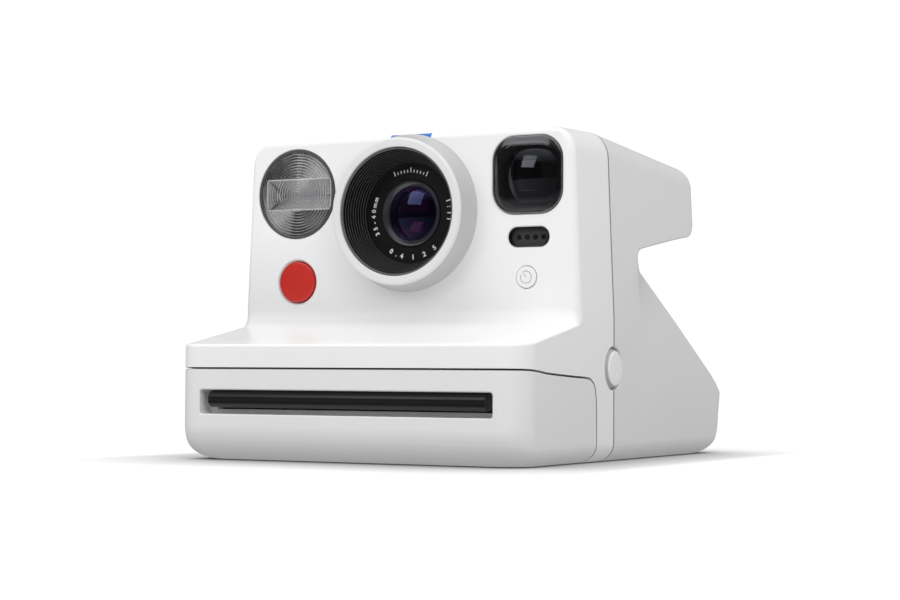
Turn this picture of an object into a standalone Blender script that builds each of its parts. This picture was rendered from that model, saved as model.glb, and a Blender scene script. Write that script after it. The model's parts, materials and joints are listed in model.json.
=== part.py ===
"""Box-type instant camera as separate sub-parts. Dimensions in millimetres, written in metres.

Frame: +Z up, the lens looks along -Y, X = 0 is the middle, Z = 0 is the flat base.
"left" in a name is the -X side, "right" the +X side.
"""

import math

import bmesh
import bpy
from mathutils import Matrix, Vector

MM = 0.001
SMOOTH_ANGLE = math.radians(32)   # edges sharper than this stay hard
SIDES = (("left", -1), ("right", 1))

# ---- body ----
HALF_W = 56.0           # half width of the lower body
Y_FRONT = -75.0         # front of the ledge and the film door
Y_REAR = 75.0           # rear of the film bay
FACE_Y = -39.3          # plane of the upper face
HEAD_REAR_Y = 54.0      # rear of the upper body
Z_TOP = 94.0            # top edge of the upper face
SEAM_Y = -15.5          # seam between front and rear cover
WALL = 2.0              # shell thickness
GAP = 0.15              # half of a seam gap
FIT = 0.15              # clearance round most buttons
R_FRONT_BOTTOM = 10.0
R_REAR_BOTTOM = 12.0
R_SIDE_BOTTOM = 5.5
R_PLAN_FRONT = 8.0      # plan corners of the ledge
R_PLAN_FOOT = 4.0       # plan corners at the foot of the upper face
R_PLAN_FACE = 2.0
R_PLAN_BAY = 6.5        # plan corners of the film bay, low down
R_PLAN_SLOPE = 3.0
R_PLAN_HEAD = 6.0
# front, in side view
LEDGE_Z = 33.2          # front top edge of the ledge
R_LEDGE = 1.0
FOOT_Y, FOOT_Z = -44.2, 38.4   # rear end of the ledge, where the fillet to the face starts
FACE_Z = 43.8           # where that fillet ends
FRONT_EDGE = 1.8        # rounding of the face's top edge
# rear, in side view
BAY_FOOT_Y = 73.4
BAY_WIDE_Z = 18.6       # height at which the bay reaches Y_REAR
SLOPE_A = (73.6, 20.2)  # the bay's slope runs from here
SLOPE_B = (11.7, 55.2)  # towards here
NOTCH_Y = 6.2
NOTCH_Z = 60.2          # top of the upright behind the slope
UNDER_A = (9.4, 62.4)   # underside of the head, front end
UNDER_B = (48.6, 69.2)  # and rear end
R_UNDER = 5.4
REAR_EDGE = 2.2
# sides and top
LEAN_Z = 41.0           # the sides lean inwards above this
LEAN = 1.9 / 43.0
SHOULDER_Z = 86.0       # the side edges of the top round off from here
SHOULDER_W = 7.4
TOP_WARP_Z = 62.0       # the crown of the top fades out down to here
LIFT = 1.0              # the top's height at the face above Z_TOP
CROWN = 0.7             # further rise from the face to the seam
FALL = 0.0695           # slope of the top behind the seam
FACET_Y, FACET_RUN = 3.6, 3.0   # the bay's side facets start here and fade in over this length

# ---- front features ----
LENS_Z = 71.6
FLASH_X, FLASH_Z, FLASH_R = -37.6, 78.7, 13.4
VIEWFINDER = (28.6, 50.6, 70.3, 92.6)   # x0, x1, z0, z1
VIEWFINDER_R = 7.0
SENSOR = (33.6, 46.5, 60.9, 66.7)       # x0, x1, z0, z1
SHUTTER = (-36.9, 52.2)                 # x, z
SHUTTER_R = 6.3
TIMER = (39.5, 52.4)                    # x, z
TIMER_R = 3.1
LATCH = (SEAM_Y, 26.8)                  # y, z
LATCH_R = 6.1
STRIP_HALF_W = 8.25

# ---- door ----
HINGE = (-33.0, 3.6)                    # y, z
HINGE_Y, HINGE_Z = HINGE
HINGE_R = 5.5
SLOT = (-47.1, 47.1, 13.2, 20.1)        # x0, x1, z0, z1
ROLLER_Y, ROLLER_R, NIP_Z = -61.8, 4.0, 15.5
ROLLER_OFFSET = 4.1                     # of each roller axis from the nip
ROLLER_UP = (ROLLER_Y, NIP_Z + ROLLER_OFFSET)
ROLLER_LOW = (ROLLER_Y, NIP_Z - ROLLER_OFFSET)

# ---- rear features ----
EYE_X, EYE_Z = 39.6, 80.6
EYE = (EYE_X - 8, EYE_X + 8, EYE_Z - 6, EYE_Z + 6)
FLASH_BUTTON = (0, 80)                  # x, z
PORT = (-4.3, 4.3, 28.2, 31.4)          # y0, y1, z0, z1
POWER = (-17.0, 48.0)                   # x, distance up the slope
POWER_R = 4.5
COUNTER = (0.0, 12.0, 44.0, 52.0)       # x0, x1, and the same distances up the slope
SCREWS = ((-36.0, 20.0), (36.0, 20.0), (-36.0, 56.0), (36.0, 56.0))   # x, y


# ================= outlines =================
def arc(centre, r, a0, a1, n):
    """Points on an arc from a0 to a1 degrees in n steps."""
    points = []
    for i in range(n + 1):
        a = math.radians(a0 + (a1 - a0) * i / n)
        points.append((centre[0] + r * math.cos(a), centre[1] + r * math.sin(a)))
    return points


def round_rect(bounds, r, n=4, grow=0.0):
    """Rectangle with rounded corners, moved outwards by grow."""
    x0, x1, z0, z1 = bounds
    x0, x1, z0, z1 = x0 - grow, x1 + grow, z0 - grow, z1 + grow
    return (
        arc((x0 + r, z0 + r), r, 180, 270, n)
        + arc((x1 - r, z0 + r), r, 270, 360, n)
        + arc((x1 - r, z1 - r), r, 0, 90, n)
        + arc((x0 + r, z1 - r), r, 90, 180, n)
    )


def span(sign, inner, outer):
    """Low and high x of a range given by its distances from the middle."""
    return sorted((sign * inner, sign * outer))


# ================= body envelope as functions of height =================
def roll(r, t):
    """Depth lost to a rounded edge of size r, t = 0 where it starts and 1 at its end."""
    return r * (1 - math.sqrt(max(0.0, 1 - min(1.0, max(0.0, t)) ** 2)))


def ramp(a, b, z, z0, z1):
    """Straight run from a at z0 to b at z1."""
    return a + (b - a) * (z - z0) / (z1 - z0)


def y_front(z):
    if z < R_FRONT_BOTTOM:
        return Y_FRONT + roll(R_FRONT_BOTTOM, 1 - z / R_FRONT_BOTTOM)
    if z < LEDGE_Z - R_LEDGE:
        return Y_FRONT
    if z < LEDGE_Z:
        return Y_FRONT + roll(R_LEDGE, (z - (LEDGE_Z - R_LEDGE)) / R_LEDGE)
    if z < FOOT_Z:
        return ramp(Y_FRONT + R_LEDGE, FOOT_Y, z, LEDGE_Z, FOOT_Z)
    if z < FACE_Z:
        return FACE_Y - roll(FACE_Y - FOOT_Y, 1 - (z - FOOT_Z) / (FACE_Z - FOOT_Z))
    if z < Z_TOP - FRONT_EDGE:
        return FACE_Y
    return FACE_Y + roll(FRONT_EDGE, (z - (Z_TOP - FRONT_EDGE)) / FRONT_EDGE)


def y_rear(z):
    if z < R_REAR_BOTTOM:
        return BAY_FOOT_Y - roll(R_REAR_BOTTOM, 1 - z / R_REAR_BOTTOM)
    if z < BAY_WIDE_Z:
        return ramp(BAY_FOOT_Y, Y_REAR, z, R_REAR_BOTTOM, BAY_WIDE_Z)
    if z < SLOPE_A[1]:
        t = (z - BAY_WIDE_Z) / (SLOPE_A[1] - BAY_WIDE_Z)
        return Y_REAR - (Y_REAR - SLOPE_A[0]) * t ** 2
    slope_top = ramp(SLOPE_A[1], SLOPE_B[1], NOTCH_Y, SLOPE_A[0], SLOPE_B[0])
    if z < slope_top:
        return ramp(SLOPE_A[0], NOTCH_Y, z, SLOPE_A[1], slope_top)
    if z < NOTCH_Z:
        return NOTCH_Y
    if z < UNDER_A[1]:
        return NOTCH_Y + roll(UNDER_A[0] - NOTCH_Y, (z - NOTCH_Z) / (UNDER_A[1] - NOTCH_Z))
    if z < UNDER_B[1]:
        return ramp(UNDER_A[0], UNDER_B[0], z, UNDER_A[1], UNDER_B[1])
    if z < UNDER_B[1] + R_UNDER:
        return HEAD_REAR_Y - roll(R_UNDER, 1 - (z - UNDER_B[1]) / R_UNDER)
    if z < Z_TOP - REAR_EDGE:
        return HEAD_REAR_Y
    return HEAD_REAR_Y - roll(REAR_EDGE, (z - (Z_TOP - REAR_EDGE)) / REAR_EDGE)


def half_width(z):
    if z < R_SIDE_BOTTOM:
        return HALF_W - roll(R_SIDE_BOTTOM, 1 - z / R_SIDE_BOTTOM)
    if z < LEAN_Z:
        return HALF_W
    width = HALF_W - LEAN * (min(z, SHOULDER_Z) - LEAN_Z)
    if z < SHOULDER_Z:
        return width
    return width - roll(SHOULDER_W, (z - SHOULDER_Z) / (Z_TOP - SHOULDER_Z))


def r_plan_front(z):
    if z < LEDGE_Z:
        return R_PLAN_FRONT
    if z < FOOT_Z:
        return ramp(R_PLAN_FRONT, R_PLAN_FOOT, z, LEDGE_Z, FOOT_Z)
    if z < FACE_Z:
        return ramp(R_PLAN_FOOT, R_PLAN_FACE, z, FOOT_Z, FACE_Z)
    return R_PLAN_FACE


def r_plan_rear(z):
    if z < 19:
        return R_PLAN_BAY
    if z < 24:
        return ramp(R_PLAN_BAY, R_PLAN_SLOPE, z, 19, 24)
    return R_PLAN_SLOPE if z < UNDER_A[1] else R_PLAN_HEAD


def top_rise(y):
    """Height of the top surface above Z_TOP."""
    crown = CROWN * (min(y, SEAM_Y) - FACE_Y) / (SEAM_Y - FACE_Y)
    return LIFT + crown - FALL * max(0.0, y - SEAM_Y)


def warp(x, y, z):
    """Crown and fall of the top, and the bay's inward-leaning side facets."""
    if y > FACET_Y and z < 58:
        facet_foot = 28.6 - (y - 11) * 0.118
        inset = 0.06 * (z - facet_foot) * min(1.0, (y - FACET_Y) / FACET_RUN)
        if inset > 0:
            # the high power keeps the inset near the side walls
            x -= math.copysign(inset * (abs(x) / HALF_W) ** 8, x)
    if z > TOP_WARP_Z:
        z += top_rise(y) * (z - TOP_WARP_Z) / (Z_TOP - TOP_WARP_Z)
    return Vector((x, y, z))


def eroded(limit, z, t, pick):
    """The tightest value of an envelope function within t of height z."""
    return pick(limit(min(Z_TOP, max(0.0, z + t * k / 4))) for k in range(-4, 5))


def ring_front(z, t, back, n):
    """Plan section of the front half, inset by t and open-ended at y = back."""
    w = eroded(half_width, z, t, min) - t
    front = eroded(y_front, z, t, max) + t
    r = max(0.6, r_plan_front(z) - t)
    points = [(-w, back)] + arc((-w + r, front + r), r, 180, 270, n)
    points += arc((w - r, front + r), r, 270, 360, n) + [(w, back)]
    return [warp(x, y, z) for x, y in points]


def ring_rear(z, t, front, n):
    """Plan section of the rear half, inset by t, from y = front."""
    w = eroded(half_width, z, t, min) - t
    rear = eroded(y_rear, z, t, min) - t
    r = max(0.6, r_plan_rear(z) - t)
    stops = [front, min(FACET_Y, rear - r - 1.0), min(FACET_Y + FACET_RUN, rear - r - 0.5)]
    points = [(w, y) for y in stops] + arc((w - r, rear - r), r, 0, 90, n)
    points += arc((-w + r, rear - r), r, 90, 180, n) + [(-w, y) for y in reversed(stops)]
    return [warp(x, y, z) for x, y in points]


def spread(z0, z1, n, fine):
    """n heights after z0 up to z1, closer together at the "start" or the "end"."""
    heights = []
    for i in range(1, n + 1):
        a = i / n * math.pi / 2
        u = 1 - math.cos(a) if fine == "start" else math.sin(a)
        heights.append(z0 + (z1 - z0) * u)
    return heights


# Heights of the sections: outer skins, then inner skins.
OUT_FRONT = sorted({
    0.0, *spread(0, R_FRONT_BOTTOM, 5, "start"), 26.0,
    LEDGE_Z - R_LEDGE, *spread(LEDGE_Z - R_LEDGE, LEDGE_Z, 2, "end"),
    FOOT_Z, *spread(FOOT_Z, FACE_Z, 3, "start"),
    SHOULDER_Z, *spread(SHOULDER_Z, 92.2, 3, "end"), *spread(92.2, Z_TOP, 3, "end"),
})
OUT_REAR = sorted({
    0.0, *spread(0, R_REAR_BOTTOM, 6, "start"), BAY_WIDE_Z, 19.4, SLOPE_A[1], 24.0, 40.0, 58.31,
    NOTCH_Z, *spread(NOTCH_Z, UNDER_A[1], 2, "end"),
    UNDER_B[1], *spread(UNDER_B[1], 74.6, 3, "start"),
    SHOULDER_Z, *spread(SHOULDER_Z, 91.8, 3, "end"), *spread(91.8, Z_TOP, 3, "end"),
})
IN_FRONT = [2.0, 5.0, 9.0, 14.0, 30.2, 31.2, 36.4, 39.0, 45.8, 84.0, 88.0, 92.0]
IN_REAR = [2.0, 5.0, 8.0, 12.0, 16.6, 18.2, 22.0, 40.0, 56.3, 60.2, 64.4, 71.2, 76.0, 84.0,
           88.0, 92.0]

for old in list(bpy.data.objects):
    bpy.data.objects.remove(old, do_unlink=True)


# ================= materials =================
def material(name, rgb, rough, metal=0.0, alpha=1.0, coat=0.0):
    m = bpy.data.materials.new(name)
    m.use_nodes = True
    inputs = m.node_tree.nodes["Principled BSDF"].inputs
    inputs["Base Color"].default_value = (*rgb, 1)
    inputs["Roughness"].default_value = rough
    inputs["Metallic"].default_value = metal
    inputs["Alpha"].default_value = alpha
    inputs["Coat Weight"].default_value = coat
    m.diffuse_color = (*rgb, alpha)
    return m


WHITE = material("white_plastic", (0.86, 0.86, 0.86), rough=0.38)
BLACK = material("black_plastic", (0.02, 0.02, 0.022), rough=0.35)
GLOSS_BLACK = material("gloss_black_plastic", (0.01, 0.01, 0.012), rough=0.12, coat=0.5)
RED = material("red_plastic", (0.72, 0.06, 0.03), rough=0.25)
BLUE = material("accent_blue", (0.03, 0.2, 0.6), rough=0.35)
GLASS = material("coated_glass", (0.25, 0.2, 0.4), rough=0.05, alpha=0.6)
CLEAR = material("clear_plastic", (0.85, 0.88, 0.9), rough=0.08, alpha=0.35)
SILVER = material("silvered_reflector", (0.8, 0.8, 0.8), rough=0.15, metal=1.0)
STEEL = material("steel", (0.55, 0.55, 0.56), rough=0.3, metal=1.0)
BRASS = material("brass", (0.75, 0.55, 0.25), rough=0.35, metal=1.0)
BOARD = material("green_board", (0.03, 0.22, 0.09), rough=0.5)
SLEEVE = material("capacitor_sleeve", (0.05, 0.06, 0.12), rough=0.4)
MIRROR = material("mirror_glass", (0.85, 0.87, 0.88), rough=0.03, metal=1.0)


# ================= solids =================
# Objects named "tool" are used up by a boolean.
def shade(ob):
    bm = bmesh.new()
    bm.from_mesh(ob.data)
    for f in bm.faces:
        f.smooth = True
    for e in bm.edges:
        e.smooth = len(e.link_faces) == 2 and e.calc_face_angle() < SMOOTH_ANGLE
    bm.to_mesh(ob.data)
    bm.free()


def build(name, verts, faces, mat=WHITE, origin=(0, 0, 0)):
    o = Vector(origin)
    bm = bmesh.new()
    bm_verts = [bm.verts.new((Vector(v) - o) * MM) for v in verts]
    for f in faces:
        bm.faces.new([bm_verts[i] for i in f])
    bmesh.ops.remove_doubles(bm, verts=bm.verts, dist=1e-6)
    bmesh.ops.recalc_face_normals(bm, faces=bm.faces)
    mesh = bpy.data.meshes.new(name)
    bm.to_mesh(mesh)
    bm.free()
    ob = bpy.data.objects.new(name, mesh)
    ob.location = o * MM
    bpy.context.scene.collection.objects.link(ob)
    mesh.materials.append(mat)
    shade(ob)
    return ob


def solve(ob, tool, operation):
    """Combine two closed meshes exactly and keep the result as a plain mesh."""
    mod = ob.modifiers.new("op", "BOOLEAN")
    mod.operation = operation
    mod.solver = "EXACT"
    mod.object = tool
    bpy.context.view_layer.update()
    depsgraph = bpy.context.evaluated_depsgraph_get()
    mesh = bpy.data.meshes.new_from_object(ob.evaluated_get(depsgraph))
    ob.modifiers.clear()
    old_mesh = ob.data
    ob.data = mesh
    bpy.data.meshes.remove(old_mesh)
    mesh.name = ob.name
    bpy.data.objects.remove(tool, do_unlink=True)
    bm = bmesh.new()
    bm.from_mesh(mesh)
    bmesh.ops.remove_doubles(bm, verts=bm.verts, dist=5e-6)
    bmesh.ops.dissolve_degenerate(bm, edges=bm.edges, dist=5e-6)
    bm.to_mesh(mesh)
    bm.free()
    shade(ob)


def cut(ob, *tools):
    for tool in tools:
        solve(ob, tool, "DIFFERENCE")


def to_xyz(p, axis, s):
    """Place a 2D point in the plane across the axis, at s along it."""
    return {"x": (s, p[0], p[1]), "y": (p[0], s, p[1]), "z": (p[0], p[1], s)}[axis]


def bridge(name, low, high, mat, origin):
    """A solid between two polygons with the same number of corners."""
    n = len(low)
    faces = [list(range(n)), list(range(n, 2 * n))[::-1]]
    faces += [[i, (i + 1) % n, n + (i + 1) % n, n + i] for i in range(n)]
    return build(name, low + high, faces, mat, origin)


def prism(name, points, axis, lo, hi, mat=WHITE, origin=(0, 0, 0)):
    """A polygon in (y, z), (x, z) or (x, y), drawn out along the axis."""
    low = [to_xyz(p, axis, lo) for p in points]
    high = [to_xyz(p, axis, hi) for p in points]
    return bridge(name, low, high, mat, origin)


def box(name, lo, hi, mat=WHITE):
    corners = [(lo[0], lo[1]), (hi[0], lo[1]), (hi[0], hi[1]), (lo[0], hi[1])]
    return prism(name, corners, "z", lo[2], hi[2], mat)


def lathe(name, profile, axis, centre, mat=WHITE, n=24, origin=(0, 0, 0)):
    """A closed profile of (radius, position along the axis) turned about the axis."""
    verts, rings = [], []
    for r, s in profile:
        if r < 1e-6:
            rings.append([len(verts)] * n)
            verts.append(to_xyz(centre, axis, s))
            continue
        rings.append(list(range(len(verts), len(verts) + n)))
        for k in range(n):
            a = 2 * math.pi * k / n
            p = (centre[0] + r * math.cos(a), centre[1] + r * math.sin(a))
            verts.append(to_xyz(p, axis, s))
    faces = []
    for i, a in enumerate(rings):
        b = rings[(i + 1) % len(rings)]
        for k in range(n):
            j = (k + 1) % n
            face = list(dict.fromkeys((a[k], a[j], b[j], b[k])))
            if len(face) > 2:
                faces.append(face)
    return build(name, verts, faces, mat, origin)


def disc(name, r, lo, hi, axis, centre, mat=WHITE, n=24, origin=(0, 0, 0)):
    return lathe(name, [(0, lo), (r, lo), (r, hi), (0, hi)], axis, centre, mat, n, origin)


def body(name, ring, t, seam, levels, n=4):
    """Sections stacked by height, closed by strips across the left and right halves."""
    rings = [ring(z, t, seam, n) for z in levels]
    count = len(rings[0])
    faces = []
    for k in range(len(rings) - 1):
        low, high = k * count, (k + 1) * count
        for i in range(count):
            j = (i + 1) % count
            faces.append([low + i, low + j, high + j, high + i])
    for base in (0, (len(rings) - 1) * count):
        for i in range(count // 2 - 1):
            last = base + count - 1 - i
            faces.append([base + i, base + i + 1, last - 1, last])
    return build(name, [v for r in rings for v in r], faces)


def gear(name, teeth, pitch_r, tip, root, centre, lo, hi, turn):
    """Brass spur gear along x; tip and root are the tooth's reach out and in from pitch_r."""
    half_tooth = 0.42 * math.pi / teeth
    points = []
    for i in range(teeth):
        for side, r in ((-1.15, pitch_r - root), (-0.55, pitch_r + tip),
                        (0.55, pitch_r + tip), (1.15, pitch_r - root)):
            a = i * 2 * math.pi / teeth + turn + side * half_tooth
            points.append((centre[0] + r * math.cos(a), centre[1] + r * math.sin(a)))
    return prism(name, points, "x", lo, hi, BRASS, to_xyz(centre, "x", (lo + hi) / 2))


# ================= film door outline =================
# y, z along the top and down the rear of the door, clockwise seen with +y to the right
DOOR_TOP = [
    (-85, 26.35), (-70, 26.15), (-59, 25.2), (-45, 24.5), (-34, 24.0),
    (-31, 23.3), (-29, 21.8), (-28, 19), (-27.6, 15), (-27.5, 9),
]


def door_outline(grow):
    """The door in side view, moved outwards by grow."""
    points = DOOR_TOP + arc(HINGE, HINGE_R, 0, -90, 5) + [(HINGE_Y, -6), (-85, -6)]
    moved = []
    for i, point in enumerate(points):
        before, here = Vector(points[i - 1]), Vector(point)
        after = Vector(points[(i + 1) % len(points)])
        e0, e1 = (here - before).normalized(), (after - here).normalized()
        n0, n1 = Vector((e0.y, -e0.x)), Vector((e1.y, -e1.x))
        inward = (n0 + n1).normalized()
        moved.append(tuple(here - inward * (grow / max(0.4, inward.dot(n0)))))
    return moved


# ================= front cover =================
FACE_CUT = (-50, -35)   # y range of a cut through the face
SIDE_CUT = (50, 60)     # x range of a cut through the right side

front = body("front_cover", ring_front, 0, SEAM_Y - GAP, OUT_FRONT)
cut(
    front,
    body("tool", ring_front, WALL, SEAM_Y + 6, IN_FRONT, n=3),
    prism("tool", door_outline(GAP), "x", -70, 70),
)
# sill of the base behind the door's hinge line
solve(front, box("tool", (-47.4, -29.3, 0.1), (47.4, -27.0, 1.9)), "UNION")
cut(
    front,
    disc("tool", 20.0, -50, -34.5, "y", (0, LENS_Z), n=32),
    disc("tool", FLASH_R + FIT, *FACE_CUT, "y", (FLASH_X, FLASH_Z), n=32),
    prism("tool", round_rect(VIEWFINDER, VIEWFINDER_R, grow=0.1), "y", -50, -36.6),
    prism("tool", round_rect(SENSOR, 2.85), "y", *FACE_CUT),
    disc("tool", SHUTTER_R + 0.2, *FACE_CUT, "y", SHUTTER),
    disc("tool", TIMER_R + FIT, *FACE_CUT, "y", TIMER, n=20),
    disc("tool", LATCH_R + FIT, *SIDE_CUT, "x", LATCH, n=28),
)

# accent strip over the top edge, in a pocket: y, z of its outer surface from the face backwards
STRIP = [
    (FACE_Y, 91.6), (FACE_Y, 93.1), (-39.0, 94.15), (-38.4, 94.78),
    (-37.5, Z_TOP + top_rise(-37.5)), (-18.0, Z_TOP + top_rise(-18.0)),
]


def strip_outline(inner, outer, back):
    """The strip in side view: its depth, its extra height and its extra length at the rear."""
    low, high = [], []
    for i, (y, z) in enumerate(STRIP):
        extra = back if i == len(STRIP) - 1 else 0.0
        low.append((y + inner * (1 - i / 5) + extra, z - inner * min(1, i / 3)))
        high.append((y - outer * max(0, 1 - i / 4) + extra, z + outer * min(1, i / 4)))
    return low + high[::-1]


pocket_half_w = STRIP_HALF_W + FIT
cut(front, prism("tool", strip_outline(0.62, 1.5, 0.1), "x", -pocket_half_w, pocket_half_w))
prism("accent_strip", strip_outline(0.5, 0.0, 0.0), "x", -STRIP_HALF_W, STRIP_HALF_W, BLUE)

# ================= rear cover =================
UP_SLOPE = Vector((0, SLOPE_B[0] - SLOPE_A[0], SLOPE_B[1] - SLOPE_A[1])).normalized()
OFF_SLOPE = Vector((0, UP_SLOPE.z, -UP_SLOPE.y))


def on_slope(x, u, h=0.0):
    """A point u mm up the slope from its lower end, h mm above it."""
    return Vector((x, *SLOPE_A)) + UP_SLOPE * u + OFF_SLOPE * h


def slope_prism(name, points, h0, h1, mat=WHITE, centre=(0, 0)):
    """A polygon in (x, up the slope) drawn out along the slope's normal."""
    low = [on_slope(*p, h0) for p in points]
    high = [on_slope(*p, h1) for p in points]
    return bridge(name, low, high, mat, on_slope(*centre))


REAR_CUT = (49, 58)   # y range of a cut through the head's rear

rear = body("rear_cover", ring_rear, 0, SEAM_Y + GAP, OUT_REAR)
cut(
    rear,
    body("tool", ring_rear, WALL, SEAM_Y - 6, IN_REAR, n=3),
    disc("tool", LATCH_R + FIT, *SIDE_CUT, "x", LATCH, n=28),
    prism("tool", round_rect(EYE, 3, n=3, grow=0.2), "y", *REAR_CUT),
    disc("tool", 4.7, *REAR_CUT, "y", FLASH_BUTTON, n=20),
    slope_prism("tool", arc(POWER, POWER_R + 0.2, 0, 342, 19), -6, 4),
    slope_prism("tool", round_rect(COUNTER, 1.5, n=2, grow=0.2), -6, 4),
    prism("tool", round_rect(PORT, 1.2, n=2, grow=0.5), "x", -60, -50),
)
for screw in SCREWS:
    cut(
        rear,
        disc("tool", 1.5, -1, 4, "z", screw, n=16),
        disc("tool", 3.0, -1, 1.1, "z", screw, n=16),
    )

# ================= film door =================
door = body("film_door", ring_front, 0, SEAM_Y - GAP, OUT_FRONT)
solve(door, prism("tool", door_outline(-GAP), "x", -70, 70), "INTERSECT")
cut(door, body("tool", ring_front, WALL, SEAM_Y + 6, IN_FRONT, n=3))
# block behind the slot
solve(door, box("tool", (-49.2, -73.9, 10.6), (49.2, -66.6, 22.4)), "UNION")
# hinge ears
EAR_R = 3.2
ear = [(HINGE_Y - EAR_R, 1.2), (HINGE_Y + EAR_R, 1.2)] + arc(HINGE, EAR_R, 0, 180, 8)
for _, sign in SIDES:
    solve(door, prism("tool", ear, "x", *span(sign, 48.9, 51.3)), "UNION")
    cut(door, disc("tool", 1.0, *span(sign, 47, 53), "x", HINGE, n=16))
cut(
    door,
    # slot, and the narrower passage behind it
    prism("tool", round_rect(SLOT, 0.8, n=2), "y", -80, -69.2),
    box("tool", (-44.6, -70, 14.5), (44.6, -60, 16.6)),
    # room for the sill and the chamber's lugs
    box("tool", (-48.6, -32.2, -1), (48.6, -20, 8)),
    box("tool", (-48.6, HINGE_Y - 1.8, 2.0), (-47.3, -20, 8)),
    box("tool", (47.3, HINGE_Y - 1.8, 2.0), (48.6, -20, 8)),
)
# put the door's origin on the hinge without moving its surface
hinge_point = Vector((0, *HINGE)) * MM
door.data.transform(Matrix.Translation(door.location - hinge_point))
door.location = hinge_point

# film shield: a sheet rolled up in the slot, one turn of a spiral
SHIELD_X, SHIELD_Y, SHIELD_Z = 44.9, -72.0, 17.55   # half length, then the roll's centre
shield = []
for k in range(25):
    a = math.radians(200 + 15 * k)
    r = 2.42 - 0.22 * k / 24
    shield.append((SHIELD_Y + r * math.cos(a), SHIELD_Z + r * math.sin(a)))
prism("film_shield", shield, "x", -SHIELD_X, SHIELD_X, GLOSS_BLACK, (0, SHIELD_Y, SHIELD_Z))

# ================= rollers =================
ROLLER_PROFILE = [
    (0, -50.9), (1.4, -50.9), (1.4, -46.9), (ROLLER_R, -46.7),
    (ROLLER_R, 46.7), (1.4, 46.9), (1.4, 50.9), (0, 50.9),
]
# each gear is on the left end; the upper one is turned half a tooth to mesh
for name, axle, turn in (("upper_roller", ROLLER_UP, math.radians(15)),
                         ("lower_roller", ROLLER_LOW, 0.0)):
    lathe(name, ROLLER_PROFILE, "x", axle, STEEL, origin=(0, *axle))
    gear(name + "_gear", 12, ROLLER_OFFSET, 0.5, 0.8, axle, -52.3, -51.0, turn)

BRACKET = [
    (-64.6, 5.4), (-57.0, 5.4), (-57.0, 20.5), (-59.5, 23.4),
    (-64.0, 23.4), (-65.4, 22.0), (-65.4, 8.0),
]
for side, sign in SIDES:
    x0, x1 = span(sign, 49.3, 50.4)
    bracket = prism("roller_bracket_" + side, BRACKET, "x", x0, x1, STEEL)
    for axle in (ROLLER_UP, ROLLER_LOW):
        cut(bracket, disc("tool", 1.5, x0 - 1, x1 + 1, "x", axle, n=16))

# ================= film chamber =================
chamber = box("film_chamber", (-48.2, -52.0, 4.6), (48.2, 60.0, 24.6), BLACK)
cut(
    chamber,
    box("tool", (-46.8, -60.0, 5.8), (46.8, 58.6, 23.4)),    # inside, open at the front
    box("tool", (-40.0, -40.0, 20), (40.0, 40.0, 30)),       # opening in the roof
    box("tool", (-60, -40.0, 14.0), (-44, -24.0, 20.0)),     # opening in the left wall
)
# hinge lugs and pins
lug = [(HINGE_Y - 1.5, 10.0)] + arc(HINGE, 1.5, 180, 360, 10) + [(HINGE_Y + 1.5, 10.0)]
for side, sign in SIDES:
    solve(chamber, prism("tool", lug, "x", *span(sign, 47.6, 48.4)), "UNION")
    cut(chamber, disc("tool", 0.98, *span(sign, 45, 50), "x", HINGE, n=16))
    disc("hinge_pin_" + side, 0.9, *span(sign, 47.0, 51.4), "x", HINGE, STEEL, n=16)

# pick arm: pushes the exposed print forward
PICK_ARM = [
    (-20, 18.5), (52, 18.5), (58, 20.0), (60, 20.0),
    (60, 24.5), (57.5, 24.5), (57.5, 22.5), (-20, 22.5),
]
prism("pick_arm", PICK_ARM, "x", -49.8, -48.9, STEEL, (-49.35, 20, 20.5))

# ================= lens assembly =================
# Profiles are (radius, y).
LENS = (0, LENS_Z)
RING_Y = -46.6       # front of the ring
RING_R = 21.5
RING_BASE_R = 22.3
RING_BORE = 18.7
lathe(
    "lens_ring",
    [
        (RING_BORE, RING_Y + 0.4), (RING_BORE + 0.3, RING_Y), (RING_R - 0.9, RING_Y),
        (RING_R - 0.2, RING_Y + 0.25), (RING_R, RING_Y + 1.0), (RING_R + 0.25, -42.5),
        (RING_BASE_R, FACE_Y - 0.1), (19.8, FACE_Y - 0.1), (19.8, -36.4), (RING_BORE, -36.4),
    ],
    "y", LENS, n=40,
)

# ribbed baffle: steps running in from the ring to the front lens
RIBS, RIBS_IN, RIBS_DEEP = 7, 3.3, 8.6   # number, and their total reach inwards and in depth
baffle = [(18.5, -36.6), (18.5, RING_Y + 0.9), (18.1, RING_Y + 0.6)]
for i in range(RIBS):
    r = 17.9 - RIBS_IN * i / RIBS
    y = RING_Y + 0.8 + RIBS_DEEP * i / RIBS
    baffle += [(r, y), (r - 0.15, y + RIBS_DEEP / RIBS * 0.75)]
baffle += [(14.4, -37.0), (10.9, -36.8), (10.9, -35.4), (16.5, -35.4), (17.0, -36.6)]
lathe("lens_baffle", baffle, "y", LENS, BLACK, n=36)

BEZEL = [
    (9.5, -37.2), (10.0, -37.6), (10.7, -37.1), (10.7, -32.0),
    (8.2, -32.0), (8.2, -33.2), (9.5, -33.2),
]
lathe("lens_bezel", BEZEL, "y", LENS, GLOSS_BLACK, n=32)
FRONT_LENS = [(0, -37.5), (3.5, -37.25), (6.5, -36.55), (9.3, -35.3), (9.3, -33.4), (0, -33.4)]
lathe("front_lens", FRONT_LENS, "y", LENS, GLASS, n=28)
REAR_LENS = [(0, -28.6), (6.0, -28.6), (6.0, -27.4), (4.0, -26.7), (0, -26.3)]
lathe("rear_lens", REAR_LENS, "y", LENS, GLASS)

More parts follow.
